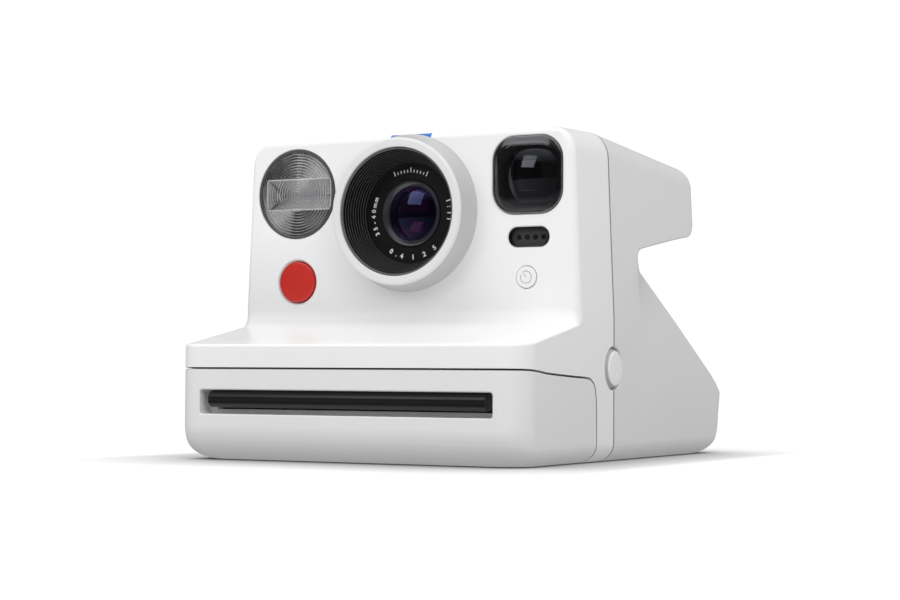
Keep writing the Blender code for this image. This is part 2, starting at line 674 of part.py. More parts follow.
# two-position lens disc behind the front lens
DISC_OFFSET = 12.5                       # of each of its lenses from the pivot
PIVOT = (0.0, LENS_Z - DISC_OFFSET)
SECOND = (DISC_OFFSET, PIVOT[1])
DISC_Y = -30.7
lens_disc = disc("lens_disc", 18.5, DISC_Y - 0.5, DISC_Y + 0.5, "y", PIVOT, BLACK, n=32,
                 origin=to_xyz(PIVOT, "y", DISC_Y))
cut(
    lens_disc,
    disc("tool", 5.0, -33, -28, "y", LENS, n=20),
    disc("tool", 5.0, -33, -28, "y", SECOND, n=20),
    disc("tool", 1.6, -33, -28, "y", PIVOT, n=16),
)
disc("lens_disc_pivot", 1.45, -31.8, -25.3, "y", PIVOT, STEEL, n=16)
lathe("portrait_lens", [(0, -31.0), (4.9, -30.9), (4.9, -30.4), (0, -30.0)],
      "y", LENS, GLASS, n=20, origin=to_xyz(LENS, "y", DISC_Y))
lathe("landscape_lens", [(0, -31.2), (3, -31.05), (4.9, -30.8), (4.9, -30.4), (0, -30.3)],
      "y", SECOND, GLASS, n=20, origin=to_xyz(SECOND, "y", DISC_Y))

# shutter plate with aperture, and two pivoted blades behind it
plate = prism("shutter_plate", round_rect((-20, 20, 46, 90), 4, n=2), "y", -25.2, -24.2, BLACK)
cut(plate, disc("tool", 3.2, -27, -22, "y", LENS, n=20))
for (side, sign), y in zip(SIDES, (-23.9, -23.2)):
    px, pz = sign * 13.0, LENS_Z - 12.0
    blade_points = [
        (px, pz - 2.6), (px + sign * 2.6, pz), (px + sign * 1.8, pz + 1.9),
        (sign * 5.0, LENS_Z + 4.5), (-sign * 3.6, LENS_Z + 4.5), (-sign * 3.6, LENS_Z - 4.5),
        (sign * 4.0, LENS_Z - 5.0), (px - sign * 2.6, pz),
    ]
    blade = prism("shutter_blade_" + side, blade_points, "y", y, y + 0.5, STEEL,
                  (px, y + 0.25, pz))
    cut(blade, disc("tool", 1.1, y - 2, y + 2, "y", (px, pz), n=12))

# ================= flash =================
FLASH_LENS = [
    (0, -39.7), (9.0, -39.6), (12.6, -39.25), (FLASH_R, -38.8), (FLASH_R, -37.9), (0, -37.9),
]
lathe("flash_lens", FLASH_LENS, "y", (FLASH_X, FLASH_Z), CLEAR, n=32)
# parabolic trough, open to the front
inside, outside = [], []
for i in range(9):
    v = -1 + 2 * i / 8
    y = -30.6 - 6.9 * v * v
    inside.append((y, FLASH_Z + 4.4 * v))
    outside.append((y + (0.9 if abs(v) < 1 else 0.0), FLASH_Z + 5.2 * v))
prism("flash_reflector", inside + outside[::-1], "x", FLASH_X - 11.0, FLASH_X + 11.0, SILVER)
disc("flash_tube", 1.3, FLASH_X - 10.4, FLASH_X + 10.4, "x", (-33.6, FLASH_Z), CLEAR, n=16)
disc("flash_capacitor", 5.4, 44.0, 70.0, "z", (-38.2, -26.5), SLEEVE)

# ================= viewfinder =================
window = prism("viewfinder_window", round_rect(VIEWFINDER, VIEWFINDER_R - 0.15, grow=-0.1),
               "y", -40.2, -36.9, CLEAR)
cut(window, prism("tool", round_rect(VIEWFINDER, VIEWFINDER_R - 1.4, grow=-1.4), "y", -38.7, -36))
TUNNEL = (31.0, 48.2, 72.8, 87.0)   # x0, x1, z0, z1
tunnel = prism("viewfinder_tunnel", round_rect(TUNNEL, 2, n=2), "y", -36.4, 45.5, BLACK)
cut(tunnel, prism("tool", round_rect(TUNNEL, 1.5, n=2, grow=-1.0), "y", -40, 50))
lathe("viewfinder_front_lens", [(0, -36.3), (3.3, -35.9), (5.9, -34.6), (5.9, -33.2), (0, -33.2)],
      "y", (EYE_X, 79.9), GLASS)
lathe("eyepiece_lens", [(0, 48.2), (5.0, 48.2), (5.0, 49.0), (3, 49.8), (0, 50.1)],
      "y", (EYE_X, EYE_Z), GLASS)
eyepiece = prism("eyepiece_bezel", round_rect(EYE, 2.9, n=3), "y", 47.5, 54.5, BLACK)
cut(eyepiece, disc("tool", 5.15, 45, 57, "y", (EYE_X, EYE_Z)))

# ================= sensor window and buttons on the face =================
SENSOR_PITCH = 2.6
sensor = prism("sensor_window", round_rect(SENSOR, 2.7, grow=-0.15), "y", -38.7, -36.9,
               GLOSS_BLACK)
for i in range(4):
    dimple = (SENSOR[0] + SENSOR_PITCH * (i + 1), (SENSOR[2] + SENSOR[3]) / 2)
    cut(sensor, disc("tool", 0.9, -40, -37.8, "y", dimple, n=10))


def face_button(name, centre, r, front_y, mat, n):
    """Dished button with a stem behind it."""
    profile = [
        (0, front_y + 0.15), (r * 0.82, front_y), (r - 0.25, front_y + 0.2), (r, front_y + 0.6),
        (r, -36.6), (r * 0.45, -36.6), (r * 0.45, -34.8), (0, -34.8),
    ]
    lathe(name, profile, "y", centre, mat, n, to_xyz(centre, "y", FACE_Y))


face_button("shutter_button", SHUTTER, SHUTTER_R, -39.9, RED, n=28)
face_button("self_timer_button", TIMER, TIMER_R, -39.6, WHITE, n=20)

# ================= door latch on the right side =================
LATCH_PROFILE = [
    (0, 56.7), (LATCH_R - 1.0, 56.6), (LATCH_R - 0.3, 56.2), (LATCH_R - 0.05, 55.4),
    (LATCH_R - 0.05, 53.2), (2.0, 53.2), (2.0, 51.9), (0, 51.9),
]
lathe("latch_button", LATCH_PROFILE, "x", LATCH, n=28, origin=(54, *LATCH))
LEVER_PIVOT = (-20.0, 15.2)
LEVER = [
    (-22.5, 14.0), (-19.0, 13.2), (-17.6, 15.0), (-17.8, 22.5),
    (-21.5, 24.0), (-24.2, 23.0), (-24.2, 21.5), (-21.4, 21.4),
]
lever = prism("latch_lever", LEVER, "x", 49.0, 49.7, STEEL, (49.35, *LEVER_PIVOT))
cut(lever, disc("tool", 0.8, 45, 53, "x", LEVER_PIVOT, n=12))

# ================= drive =================
MOTOR = (-28.5, 33.6)            # y, z
MESH_ANGLE = math.radians(75)    # direction from the pinion to the wheel
GEAR_SPACING = 8.15
GEAR_X = (-46.2, -44.6)
WHEEL_TEETH = 22
WHEEL = (MOTOR[0] + GEAR_SPACING * math.cos(MESH_ANGLE),
         MOTOR[1] + GEAR_SPACING * math.sin(MESH_ANGLE))
disc("drive_motor", 6.0, -44.0, -22.0, "x", MOTOR, STEEL)
gear("motor_pinion", 10, 2.5, 0.4, 0.6, MOTOR, *GEAR_X, MESH_ANGLE)
# a gap of the wheel faces a tooth of the pinion
wheel = gear("reduction_gear", WHEEL_TEETH, 5.5, 0.4, 0.6, WHEEL, *GEAR_X,
             MESH_ANGLE + math.pi - math.pi / WHEEL_TEETH)
cut(wheel, disc("tool", 0.85, GEAR_X[0] - 1, GEAR_X[1] + 1, "x", WHEEL, n=16))
disc("reduction_gear_shaft", 0.7, -47.6, -42.0, "x", WHEEL, STEEL, n=12)

# ================= boards, battery, mirror and port =================
for name, lo, hi, mat in (
    ("flash_board", (-51.0, -19.4, 34.0), (-25.0, -18.2, 88.0), BOARD),
    ("sensor_board", (32.0, -36.2, 57.0), (48.0, -35.2, 69.0), BOARD),
    ("main_board", (-44.0, -12.0, 80.0), (26.0, 44.0, 81.2), BOARD),
    ("battery", (-40.0, -10.0, 71.6), (-4.0, 36.0, 77.4), SLEEVE),
):
    box(name, lo, hi, mat)
slope_prism("mirror", [(-36, 21.5), (36, 21.5), (36, 64), (-36, 64)], -6.5, -5.0, MIRROR)
PORT_WALL = 0.7
y0, y1, z0, z1 = PORT
port = box("charging_port", (-55.4, y0, z0), (-49.0, y1, z1), STEEL)
cut(port, box("tool", (-58, y0 + PORT_WALL, z0 + PORT_WALL),
              (-51.0, y1 - PORT_WALL, z1 - PORT_WALL)))

# ================= rear controls and strap bars =================
slope_prism("power_button", arc(POWER, POWER_R, 0, 342, 19), -2.6, 0.5, centre=POWER)
slope_prism("counter_window", round_rect(COUNTER, 1.4, n=2), -1.8, 0.05, GLOSS_BLACK)
lathe("flash_button", [(0, 54.5), (3.8, 54.5), (4.5, 54.0), (4.5, 51.2), (0, 51.2)],
      "y", FLASH_BUTTON, origin=to_xyz(FLASH_BUTTON, "y", HEAD_REAR_Y))
for side, sign in SIDES:
    disc("strap_bar_" + side, 1.1, 56.0, 62.3, "z", (sign * 46.0, 12.4), STEEL, n=12)

# ================= slotted screws in the base =================
SCREW_PROFILE = [
    (0, 0.35), (1.0, 0.35), (2.7, 0.25), (2.7, 1.0), (1.25, 1.0), (1.25, 4.4), (0, 4.4),
]
for i, (x, y) in enumerate(SCREWS):
    screw = lathe(f"base_screw_{i + 1}", SCREW_PROFILE, "z", (x, y), STEEL, n=14,
                  origin=(x, y, 0))
    cut(screw, box("tool", (x - 0.35, y - 1.6, -1), (x + 0.35, y + 1.6, 0.7)))
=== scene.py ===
"""Looks of an instant film camera, built over its CAD pieces.

The camera stands on z = 0. Its lens looks along -Y, its back is at +Y, and X runs across it.
Shapes are given in millimetres and become metres in build(). Materials, stage, lights and
camera are in metres unless a value is multiplied by MM.
"""

import json
import math

import bmesh
import bpy
from mathutils import Matrix, Vector
from mathutils.kdtree import KDTree


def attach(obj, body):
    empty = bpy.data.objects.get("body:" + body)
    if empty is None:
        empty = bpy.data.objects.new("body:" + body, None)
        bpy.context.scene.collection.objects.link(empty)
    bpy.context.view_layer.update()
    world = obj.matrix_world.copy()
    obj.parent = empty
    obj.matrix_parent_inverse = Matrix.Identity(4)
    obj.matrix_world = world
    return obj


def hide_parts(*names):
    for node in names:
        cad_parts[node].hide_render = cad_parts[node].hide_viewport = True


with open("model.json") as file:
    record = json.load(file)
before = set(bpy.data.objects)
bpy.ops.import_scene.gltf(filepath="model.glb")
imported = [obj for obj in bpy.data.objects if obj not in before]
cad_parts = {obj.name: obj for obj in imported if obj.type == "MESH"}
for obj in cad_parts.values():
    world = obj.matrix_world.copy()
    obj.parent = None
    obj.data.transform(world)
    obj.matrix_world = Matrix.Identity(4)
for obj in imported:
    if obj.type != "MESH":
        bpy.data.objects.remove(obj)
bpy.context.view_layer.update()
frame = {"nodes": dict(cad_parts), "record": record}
MM = 0.001

# ---- overall body ----
HALF_W = 56.0          # half width of the lower body
Y_FRONT = -75.0        # front of the ledge and the film door
Y_REAR = 75.0          # rear of the film bay
FACE_Y = -39.3         # plane of the upper face
BACK_Y = 54.0          # plane of the upper back
Z_TOP = 94.0           # top edge of the upper face
SEAM_Y = -15.5         # seam between front and rear cover
CROWN_Z = 62.0         # the top's crown and fall fade out down to here
LIFT = 1.0             # the top's height at the face above Z_TOP
CROWN = 0.7            # further rise from the face to the seam
FALL = 0.0695          # slope of the top behind the seam
WALL = 2.0             # shell thickness
GAP = 0.15             # half of a seam gap
EDGE = 0.24            # softening of the covers' seam edges
GROOVE_R = 0.3         # groove between door and front cover
R_FRONT_BOTTOM = 10.0
R_REAR_BOTTOM = 12.0
R_SIDE_BOTTOM = 5.5
R_PLAN_FRONT = 8.0
# ---- front outline: ledge, ramp behind it, cove up to the face ----
LEDGE_Z = 33.2
RAMP_Y, RAMP_Z = -44.2, 38.4
COVE_Z = 43.8
FACE_EDGE_Z, FACE_EDGE_R = 92.2, 1.8
SHOULDER_Z = 86.0      # the sides round over above this
# ---- rear outline: bay, slope, notch, overhang, back ----
BAY_LOW_Y, BAY_LIP_Z = 73.4, 18.6
SLOPE_FOOT = (73.6, 20.2)
SLOPE_HEAD = (11.7, 55.2)
NOTCH_Y = 6.2
NOTCH_FILLET_Z = 60.2
UNDER_FRONT = (9.4, 62.4)    # overhang's underside in (y, z), from here
UNDER_BACK = (48.6, 69.2)    # to here
UNDER_R = 5.4
BACK_EDGE_Z, BACK_EDGE_R = 91.8, 2.2
# ---- lens ----
LENS = LENS_X, LENS_Z = 0.7, 71.8
RING_Y = -46.6
RING_R = 21.5
RING_BORE = 18.7
# ---- front features; boxes are (x0, x1, z0, z1) ----
FLASH = FLASH_X, FLASH_Z = -37.6, 78.7
FLASH_R = 13.4
FLASH_PITCH = 0.86     # rings turned in the flash plate
VF_BOX = (28.6, 50.6, 70.3, 92.6)
VF_R = 7.0
PILL_BOX = (33.6, 46.5, 60.9, 66.7)
PILL_R = 2.85
SENSOR_PITCH = 2.62
SHUTTER, SHUTTER_R = (-37.15, 52.2), 6.12
TIMER, TIMER_R = (39.5, 52.4), 3.1
LATCH, LATCH_R = (SEAM_Y, 26.8), 6.1     # (y, z) on the +X side
# ---- door ----
HINGE = HINGE_Y, HINGE_Z = -33.0, 3.6
HINGE_R = 5.5
SLOT_BOX, SLOT_Y = (-47.1, 47.1, 13.2, 20.1), -69.2
SHIELD_X, SHIELD_Y, SHIELD_Z = 44.9, -72.0, 17.55
ROLLER_Y, ROLLER_R, NIP_Z = -61.8, 4.0, 15.5
ROLLER_RISE = 4.1      # roller axes above and below the nip
# ---- rear features ----
EYE = EYE_X, EYE_Z = 39.6, 80.6
FLASH_BUTTON = (0, 80)
POWER = (-17.0, 48.0)        # (x, distance up the slope)
COUNTER = (6.0, 48.0)
SCREWS = [(x, y) for y in (20.0, 56.0) for x in (-36.0, 36.0)]


def arc(centre, radius, start, end, steps):
    """Points from one angle to another, in degrees."""
    angles = [math.radians(start + (end - start) * i / steps) for i in range(steps + 1)]
    return [(centre[0] + radius * math.cos(a), centre[1] + radius * math.sin(a)) for a in angles]


def arc_band(centre, outer, inner, start, end, steps):
    return arc(centre, outer, start, end, steps) + arc(centre, inner, end, start, steps)


def quarter(u):
    """Quarter circle: 1 at u = 0, falling to 0 at u = 1."""
    return math.sqrt(max(0.0, 1 - min(1.0, max(0.0, u)) ** 2))


# ================= envelope as functions of height =================
NOTCH_Z = SLOPE_FOOT[1] + (SLOPE_FOOT[0] - NOTCH_Y) * (SLOPE_HEAD[1] - SLOPE_FOOT[1]) / (
    SLOPE_FOOT[0] - SLOPE_HEAD[0]
)


def y_front(z):
    if z < R_FRONT_BOTTOM:
        return Y_FRONT + R_FRONT_BOTTOM * (1 - quarter(1 - z / R_FRONT_BOTTOM))
    if z < LEDGE_Z - 1:
        return Y_FRONT
    if z < LEDGE_Z:
        return Y_FRONT + 1 - quarter(z - (LEDGE_Z - 1))
    if z < RAMP_Z:
        ledge_y = Y_FRONT + 1
        return ledge_y + (RAMP_Y - ledge_y) * (z - LEDGE_Z) / (RAMP_Z - LEDGE_Z)
    if z < COVE_Z:
        return RAMP_Y + (FACE_Y - RAMP_Y) * quarter(1 - (z - RAMP_Z) / (COVE_Z - RAMP_Z))
    if z < FACE_EDGE_Z:
        return FACE_Y
    return FACE_Y + FACE_EDGE_R * (1 - quarter((z - FACE_EDGE_Z) / FACE_EDGE_R))


def y_rear(z):
    foot_y, foot_z = SLOPE_FOOT
    if z < R_REAR_BOTTOM:
        return BAY_LOW_Y - R_REAR_BOTTOM * (1 - quarter(1 - z / R_REAR_BOTTOM))
    if z < BAY_LIP_Z:
        rise = (z - R_REAR_BOTTOM) / (BAY_LIP_Z - R_REAR_BOTTOM)
        return BAY_LOW_Y + (Y_REAR - BAY_LOW_Y) * rise
    if z < foot_z:
        return Y_REAR - (Y_REAR - foot_y) * ((z - BAY_LIP_Z) / (foot_z - BAY_LIP_Z)) ** 2
    if z < NOTCH_Z:
        return foot_y + (NOTCH_Y - foot_y) * (z - foot_z) / (NOTCH_Z - foot_z)
    if z < NOTCH_FILLET_Z:
        return NOTCH_Y
    if z < UNDER_FRONT[1]:
        rise = (z - NOTCH_FILLET_Z) / (UNDER_FRONT[1] - NOTCH_FILLET_Z)
        return NOTCH_Y + (UNDER_FRONT[0] - NOTCH_Y) * (1 - quarter(rise))
    if z < UNDER_BACK[1]:
        rise = (z - UNDER_FRONT[1]) / (UNDER_BACK[1] - UNDER_FRONT[1])
        return UNDER_FRONT[0] + (UNDER_BACK[0] - UNDER_FRONT[0]) * rise
    if z < UNDER_BACK[1] + UNDER_R:
        return UNDER_BACK[0] + UNDER_R * quarter(1 - (z - UNDER_BACK[1]) / UNDER_R)
    if z < BACK_EDGE_Z:
        return BACK_Y
    return BACK_Y - BACK_EDGE_R * (1 - quarter((z - BACK_EDGE_Z) / BACK_EDGE_R))


def half_w(z):
    if z < R_SIDE_BOTTOM:
        return HALF_W - R_SIDE_BOTTOM * (1 - quarter(1 - z / R_SIDE_BOTTOM))
    if z < 41:
        return HALF_W
    width = HALF_W - 1.9 * (min(z, SHOULDER_Z) - 41) / 43.0
    if z < SHOULDER_Z:
        return width
    return width - 7.4 * (1 - quarter((z - SHOULDER_Z) / (Z_TOP - SHOULDER_Z)))


def r_plan_front(z):
    """Radius of the front's vertical corners seen from above."""
    if z < LEDGE_Z:
        return R_PLAN_FRONT
    if z < RAMP_Z:
        return R_PLAN_FRONT + (4.0 - R_PLAN_FRONT) * (z - LEDGE_Z) / (RAMP_Z - LEDGE_Z)
    if z < COVE_Z:
        return 4.0 - 2.0 * (z - RAMP_Z) / (COVE_Z - RAMP_Z)
    return 2.0


def r_plan_rear(z):
    if z < 19:
        return 6.5
    if z < 24:
        return 6.5 - 3.5 * (z - 19) / 5
    return 3.0 if z < UNDER_FRONT[1] else 6.0


def top_z(y):
    """Height of the top above Z_TOP."""
    crown = CROWN * (min(y, SEAM_Y) - FACE_Y) / (SEAM_Y - FACE_Y)
    return LIFT + crown - FALL * max(0.0, y - SEAM_Y)


def warp(x, y, z):
    """Crown and fall of the top, and the bay's inward-leaning side facets."""
    if y > 3.6 and z < 58:
        lean = 0.06 * (z - (28.6 - (y - 11) * 0.118)) * min(1.0, (y - 3.6) / 3.0)
        if lean > 0:
            x -= math.copysign(lean * (abs(x) / HALF_W) ** 8, x)
    if z > CROWN_Z:
        z += top_z(y) * (z - CROWN_Z) / (Z_TOP - CROWN_Z)
    return Vector((x, y, z))


def eroded(outline_at, z, inset, pick):
    """Tightest value of an outline function within inset above and below z."""
    heights = [min(Z_TOP, max(0.0, z + inset * k / 4)) for k in range(-4, 5)]
    return pick(outline_at(height) for height in heights)


def front_section(z, inset, seam_y, segs):
    """Open level section of the front part, its ends at the seam."""
    width = eroded(half_w, z, inset, min) - inset
    edge = eroded(y_front, z, inset, max) + inset
    radius = max(0.6, r_plan_front(z) - inset)
    points = [(-width, seam_y)]
    points += arc((-width + radius, edge + radius), radius, 180, 270, segs)
    points += arc((width - radius, edge + radius), radius, 270, 360, segs)
    points += [(width, seam_y)]
    return [warp(x, y, z) for x, y in points]


def rear_section(z, inset, seam_y, segs):
    """Open level section of the rear part, with stops where the side facets set in."""
    width = eroded(half_w, z, inset, min) - inset
    edge = eroded(y_rear, z, inset, min) - inset
    radius = max(0.6, r_plan_rear(z) - inset)
    stops = [min(3.6, edge - radius - 1.0), min(6.6, edge - radius - 0.5)]
    points = [(width, seam_y)] + [(width, y) for y in stops]
    points += arc((width - radius, edge - radius), radius, 0, 90, segs)
    points += arc((-width + radius, edge - radius), radius, 90, 180, segs)
    points += [(-width, y) for y in reversed(stops)] + [(-width, seam_y)]
    return [warp(x, y, z) for x, y in points]


def spread(low, high, count, ease="even"):
    """Heights above low up to high, crowded at the bottom ("in") or at the top ("out")."""
    out = []
    for i in range(1, count + 1):
        u = i / count
        if ease == "in":
            u = 1 - math.cos(u * math.pi / 2)
        if ease == "out":
            u = math.sin(u * math.pi / 2)
        out.append(low + (high - low) * u)
    return out


def levels(*parts):
    heights = [v for part in parts for v in (part if isinstance(part, list) else [part])]
    return sorted({round(v, 4) for v in heights})


# Heights of the sections, outside and inside
OUT_FRONT = levels(
    0.0,
    spread(0, R_SIDE_BOTTOM, 8, "in"),
    spread(0, R_FRONT_BOTTOM, 14, "in"),
    [16.0, 20.0, 26.0, 30.0, LEDGE_Z - 1],
    spread(LEDGE_Z - 1, LEDGE_Z, 8, "out"),
    spread(LEDGE_Z, RAMP_Z, 4),
    spread(RAMP_Z, COVE_Z, 12, "in"),
    spread(COVE_Z, SHOULDER_Z, 10),
    spread(SHOULDER_Z, FACE_EDGE_Z, 10, "out"),
    spread(FACE_EDGE_Z, Z_TOP, 10, "out"),
)
OUT_REAR = levels(
    0.0,
    spread(0, R_SIDE_BOTTOM, 8, "in"),
    spread(0, R_REAR_BOTTOM, 18, "in"),
    14.0,
    spread(BAY_LIP_Z, SLOPE_FOOT[1], 6),
    spread(SLOPE_FOOT[1], 58.31, 16),
    NOTCH_FILLET_Z,
    spread(NOTCH_FILLET_Z, UNDER_FRONT[1], 8, "out"),
    spread(UNDER_FRONT[1], UNDER_BACK[1], 3),
    spread(UNDER_BACK[1], 74.6, 14, "in"),
    spread(74.6, SHOULDER_Z, 3),
    spread(SHOULDER_Z, BACK_EDGE_Z, 8, "out"),
    spread(BACK_EDGE_Z, Z_TOP, 10, "out"),
)
IN_FRONT = [2.0, 5.0, 9.0, 14.0, 30.2, 31.2, 36.4, 39.0, 45.8, 84.0, 88.0, 92.0]
IN_REAR = [2.0, 5.0, 8.0, 12.0, 16.6, 18.2, 22.0, 40.0, 56.3, 60.2, 64.4, 71.2, 76.0, 84.0,
           88.0, 92.0]


# ================= mesh helpers: millimetres in, metres out =================
def add_object(name, data):
    obj = bpy.data.objects.new(name, data)
    bpy.context.scene.collection.objects.link(obj)
    return obj


def shade(obj, angle=32):
    """Smooth shading, with edges sharper than angle marked sharp."""
    edit = bmesh.new()
    edit.from_mesh(obj.data)
    for face in edit.faces:
        face.smooth = True
    for edge in edit.edges:
        edge.smooth = len(edge.link_faces) == 2 and edge.calc_face_angle(4) < math.radians(angle)
    edit.to_mesh(obj.data)
    edit.free()


def build(name, verts, faces, mat, angle=32):
    edit = bmesh.new()
    made = [edit.verts.new(Vector(vert) * MM) for vert in verts]
    for face in faces:
        edit.faces.new([made[i] for i in face])
    bmesh.ops.remove_doubles(edit, verts=edit.verts, dist=1e-6)
    bmesh.ops.recalc_face_normals(edit, faces=edit.faces)
    mesh = bpy.data.meshes.new(name)
    edit.to_mesh(mesh)
    edit.free()
    obj = add_object(name, mesh)
    if mat is not None:
        mesh.materials.append(mat)
    shade(obj, angle)
    return obj


def evaluated_mesh(obj):
    bpy.context.view_layer.update()
    depsgraph = bpy.context.evaluated_depsgraph_get()
    return bpy.data.meshes.new_from_object(obj.evaluated_get(depsgraph))


def combine(obj, other, operation):
    """Boolean of obj with other, which is used up, then a clean-up of tiny edges."""
    modifier = obj.modifiers.new("op", "BOOLEAN")
    modifier.operation = operation
    modifier.solver = "EXACT"
    modifier.object = other
    mesh = evaluated_mesh(obj)
    obj.modifiers.clear()
    old = obj.data
    name = old.name
    obj.data = mesh
    bpy.data.meshes.remove(old)
    mesh.name = name
    bpy.data.objects.remove(other, do_unlink=True)
    edit = bmesh.new()
    edit.from_mesh(mesh)
    bmesh.ops.remove_doubles(edit, verts=edit.verts, dist=4e-6)
    bmesh.ops.dissolve_degenerate(edit, edges=edit.edges, dist=4e-6)
    edit.to_mesh(mesh)
    edit.free()
    shade(obj)


def cut(obj, *cutters):
    for cutter in cutters:
        combine(obj, cutter, "DIFFERENCE")


def at_axis(point, axis, along):
    """Point of a plane square to the axis, as x, y, z."""
    first, second = point
    return {
        "x": (along, first, second),
        "y": (first, along, second),
        "z": (first, second, along),
    }[axis]


def stack(name, sections, mat=None, closed=False, angle=32):
    """Rings of equal length joined in order; capped unless closed on itself."""
    count = len(sections[0])
    last = len(sections) - 1
    faces = []
    for k in range(last + 1 if closed else last):
        low, high = k * count, ((k + 1) % (last + 1)) * count
        for i in range(count):
            j = (i + 1) % count
            faces.append([low + i, low + j, high + j, high + i])
    if not closed:
        faces += [list(range(count)), [last * count + i for i in range(count)][::-1]]
    return build(name, [v for ring in sections for v in ring], faces, mat, angle)


def prism(name, points, axis, low, high, mat=None, angle=32):
    ends = [[at_axis(p, axis, along) for p in points] for along in sorted((low, high))]
    return stack(name, ends, mat, angle=angle)


def box(corner, opposite, mat=None):
    (x0, x1), (y0, y1), (z0, z1) = (sorted(pair) for pair in zip(corner, opposite))
    return prism("box", [(x0, y0), (x1, y0), (x1, y1), (x0, y1)], "z", z0, z1, mat)


def inset_rect(rect, inset, radius, segs):
    """Rounded rectangle rect = (x0, x1, z0, z1) moved in by inset."""
    x0, x1, z0, z1 = rect[0] + inset, rect[1] - inset, rect[2] + inset, rect[3] - inset
    r = max(0.2, radius - inset)
    return (
        arc((x0 + r, z0 + r), r, 180, 270, segs)
        + arc((x1 - r, z0 + r), r, 270, 360, segs)
        + arc((x1 - r, z1 - r), r, 0, 90, segs)
        + arc((x0 + r, z1 - r), r, 90, 180, segs)
    )


def rect_stack(name, rect, radius, segs, stations, mat=None, axis="y", closed=False, angle=32):
    """Rounded rectangles joined in order; each station is (inset, place along the axis)."""
    rings = [
        [at_axis(p, axis, along) for p in inset_rect(rect, inset, radius, segs)]
        for inset, along in stations
    ]
    return stack(name, rings, mat, closed, angle)


def lathe(name, profile, centre, mat=None, axis="y", segs=96, angle=32):
    """A closed profile of (radius, place along the axis) turned about the axis at centre."""
    verts, rings = [], []
    for radius, along in profile:
        if radius < 1e-6:
            rings.append([len(verts)] * segs)
            verts.append(at_axis(centre, axis, along))
            continue
        ring = []
        for k in range(segs):
            turn = 2 * math.pi * k / segs
            ring.append(len(verts))
            spot = (centre[0] + radius * math.cos(turn), centre[1] + radius * math.sin(turn))
            verts.append(at_axis(spot, axis, along))
        rings.append(ring)
    faces = []
    for i, low in enumerate(rings):
        following = (i + 1) % len(rings)
        high = rings[following]
        if profile[i][0] < 1e-6 and profile[following][0] < 1e-6:
            continue
        for k in range(segs):
            j = (k + 1) % segs
            face = list(dict.fromkeys((low[k], low[j], high[j], high[k])))
            if len(face) > 2:
                faces.append(face)
    return build(name, verts, faces, mat, angle)


def disc(radius, low, high, centre, axis, segs):
    low, high = sorted((low, high))
    profile = [(0, low), (radius, low), (radius, high), (0, high)]
    return lathe("disc", profile, centre, axis=axis, segs=segs)


def bore(radius, mouth, deep, centre, chamfer, axis="y"):
    """Cutter for a round hole with a chamfer at its mouth."""
    inward = 1 if deep > mouth else -1
    wide = radius + chamfer
    outside = mouth - inward * 6.0
    profile = [(0, outside), (wide, outside), (wide, mouth), (radius, mouth + inward * chamfer),
               (radius, deep), (0, deep)]
    return lathe("bore", profile, centre, axis=axis)


def window_cut(rect, radius, mouth, deep, chamfer, segs=10):
    """Cutter for a rounded window in a face that looks along -Y."""
    stations = [(-chamfer, mouth - 6), (-chamfer, mouth), (0, mouth + chamfer), (0, deep)]
    return rect_stack("window", rect, radius + 0.001, segs, stations)


def tube(path, radius, segs=8):
    """A round tube along a path, its frame carried along so that the rings do not twist."""
    points = [Vector(p) for p in path]
    rings = []
    across = None
    for i, point in enumerate(points):
        ahead = (points[min(len(points) - 1, i + 1)] - points[max(0, i - 1)]).normalized()
        if across is None:
            across = ahead.cross(Vector((0.31, 0.2, 0.93))).normalized()
        across = (across - ahead * across.dot(ahead)).normalized()
        other = ahead.cross(across)
        turns = [2 * math.pi * k / segs for k in range(segs)]
        rings.append([
            tuple(point + across * radius * math.cos(a) + other * radius * math.sin(a))
            for a in turns
        ])
    return stack("tube", rings, angle=50)


def loft(name, rings):
    """Rings joined in order, each end capped by a ladder of quads."""
    count = len(rings[0])
    last = (len(rings) - 1) * count
    faces = []
    for low in range(0, last, count):
        for i in range(count):
            j = (i + 1) % count
            faces.append([low + i, low + j, low + count + j, low + count + i])
    for base in (0, last):
        for i in range(count // 2 - 1):
            faces.append([base + i, base + i + 1, base + count - 2 - i, base + count - 1 - i])
    return build(name, [v for ring in rings for v in ring], faces, None)


def eased(ring, sign):
    """Softens the seam end of a ring: its end points draw in, a lip just before stays out."""
    ends = [ring[0].copy(), ring[-1].copy()]
    lips = [end.copy() for end in ends]
    middle = Z_TOP / 2
    for end, lip in zip(ends, lips):
        lip.y -= sign * EDGE
        end.x -= math.copysign(EDGE, end.x)
        end.z = middle + (end.z - middle) * (1 - EDGE / middle)
    return [ends[0], lips[0]] + ring[1:-1] + [lips[1], ends[1]]


def body(name, section, inset, seam_y, heights, segs=12, soft=False):
    rings = [section(z, inset, seam_y, segs) for z in heights]
    if soft:
        rings = [eased(ring, 1 if section is front_section else -1) for ring in rings]
    return loft(name, rings)


def paint_shade(obj, mat, pick):
    """Gives the faces whose corners all satisfy pick a further material; here that paints shade on
    them.
    """
    obj.data.materials.append(mat)
    slot = len(obj.data.materials) - 1
    good = [pick(vert.co * 1000) for vert in obj.data.vertices]
    for face in obj.data.polygons:
        if all(good[i] for i in face.vertices):
            face.material_index = slot


def near_path(points, dist, step=0.2):
    """Test for points within dist of a path."""
    dense = []
    for start, end in zip(points, points[1:]):
        start, end = Vector(start), Vector(end)
        count = max(1, int((end - start).length / step))
        dense += [start.lerp(end, i / count) for i in range(count)]
    tree = KDTree(len(dense))
    for i, spot in enumerate(dense):
        tree.insert(spot, i)
    tree.balance()
    return lambda point: tree.find(point)[2] < dist


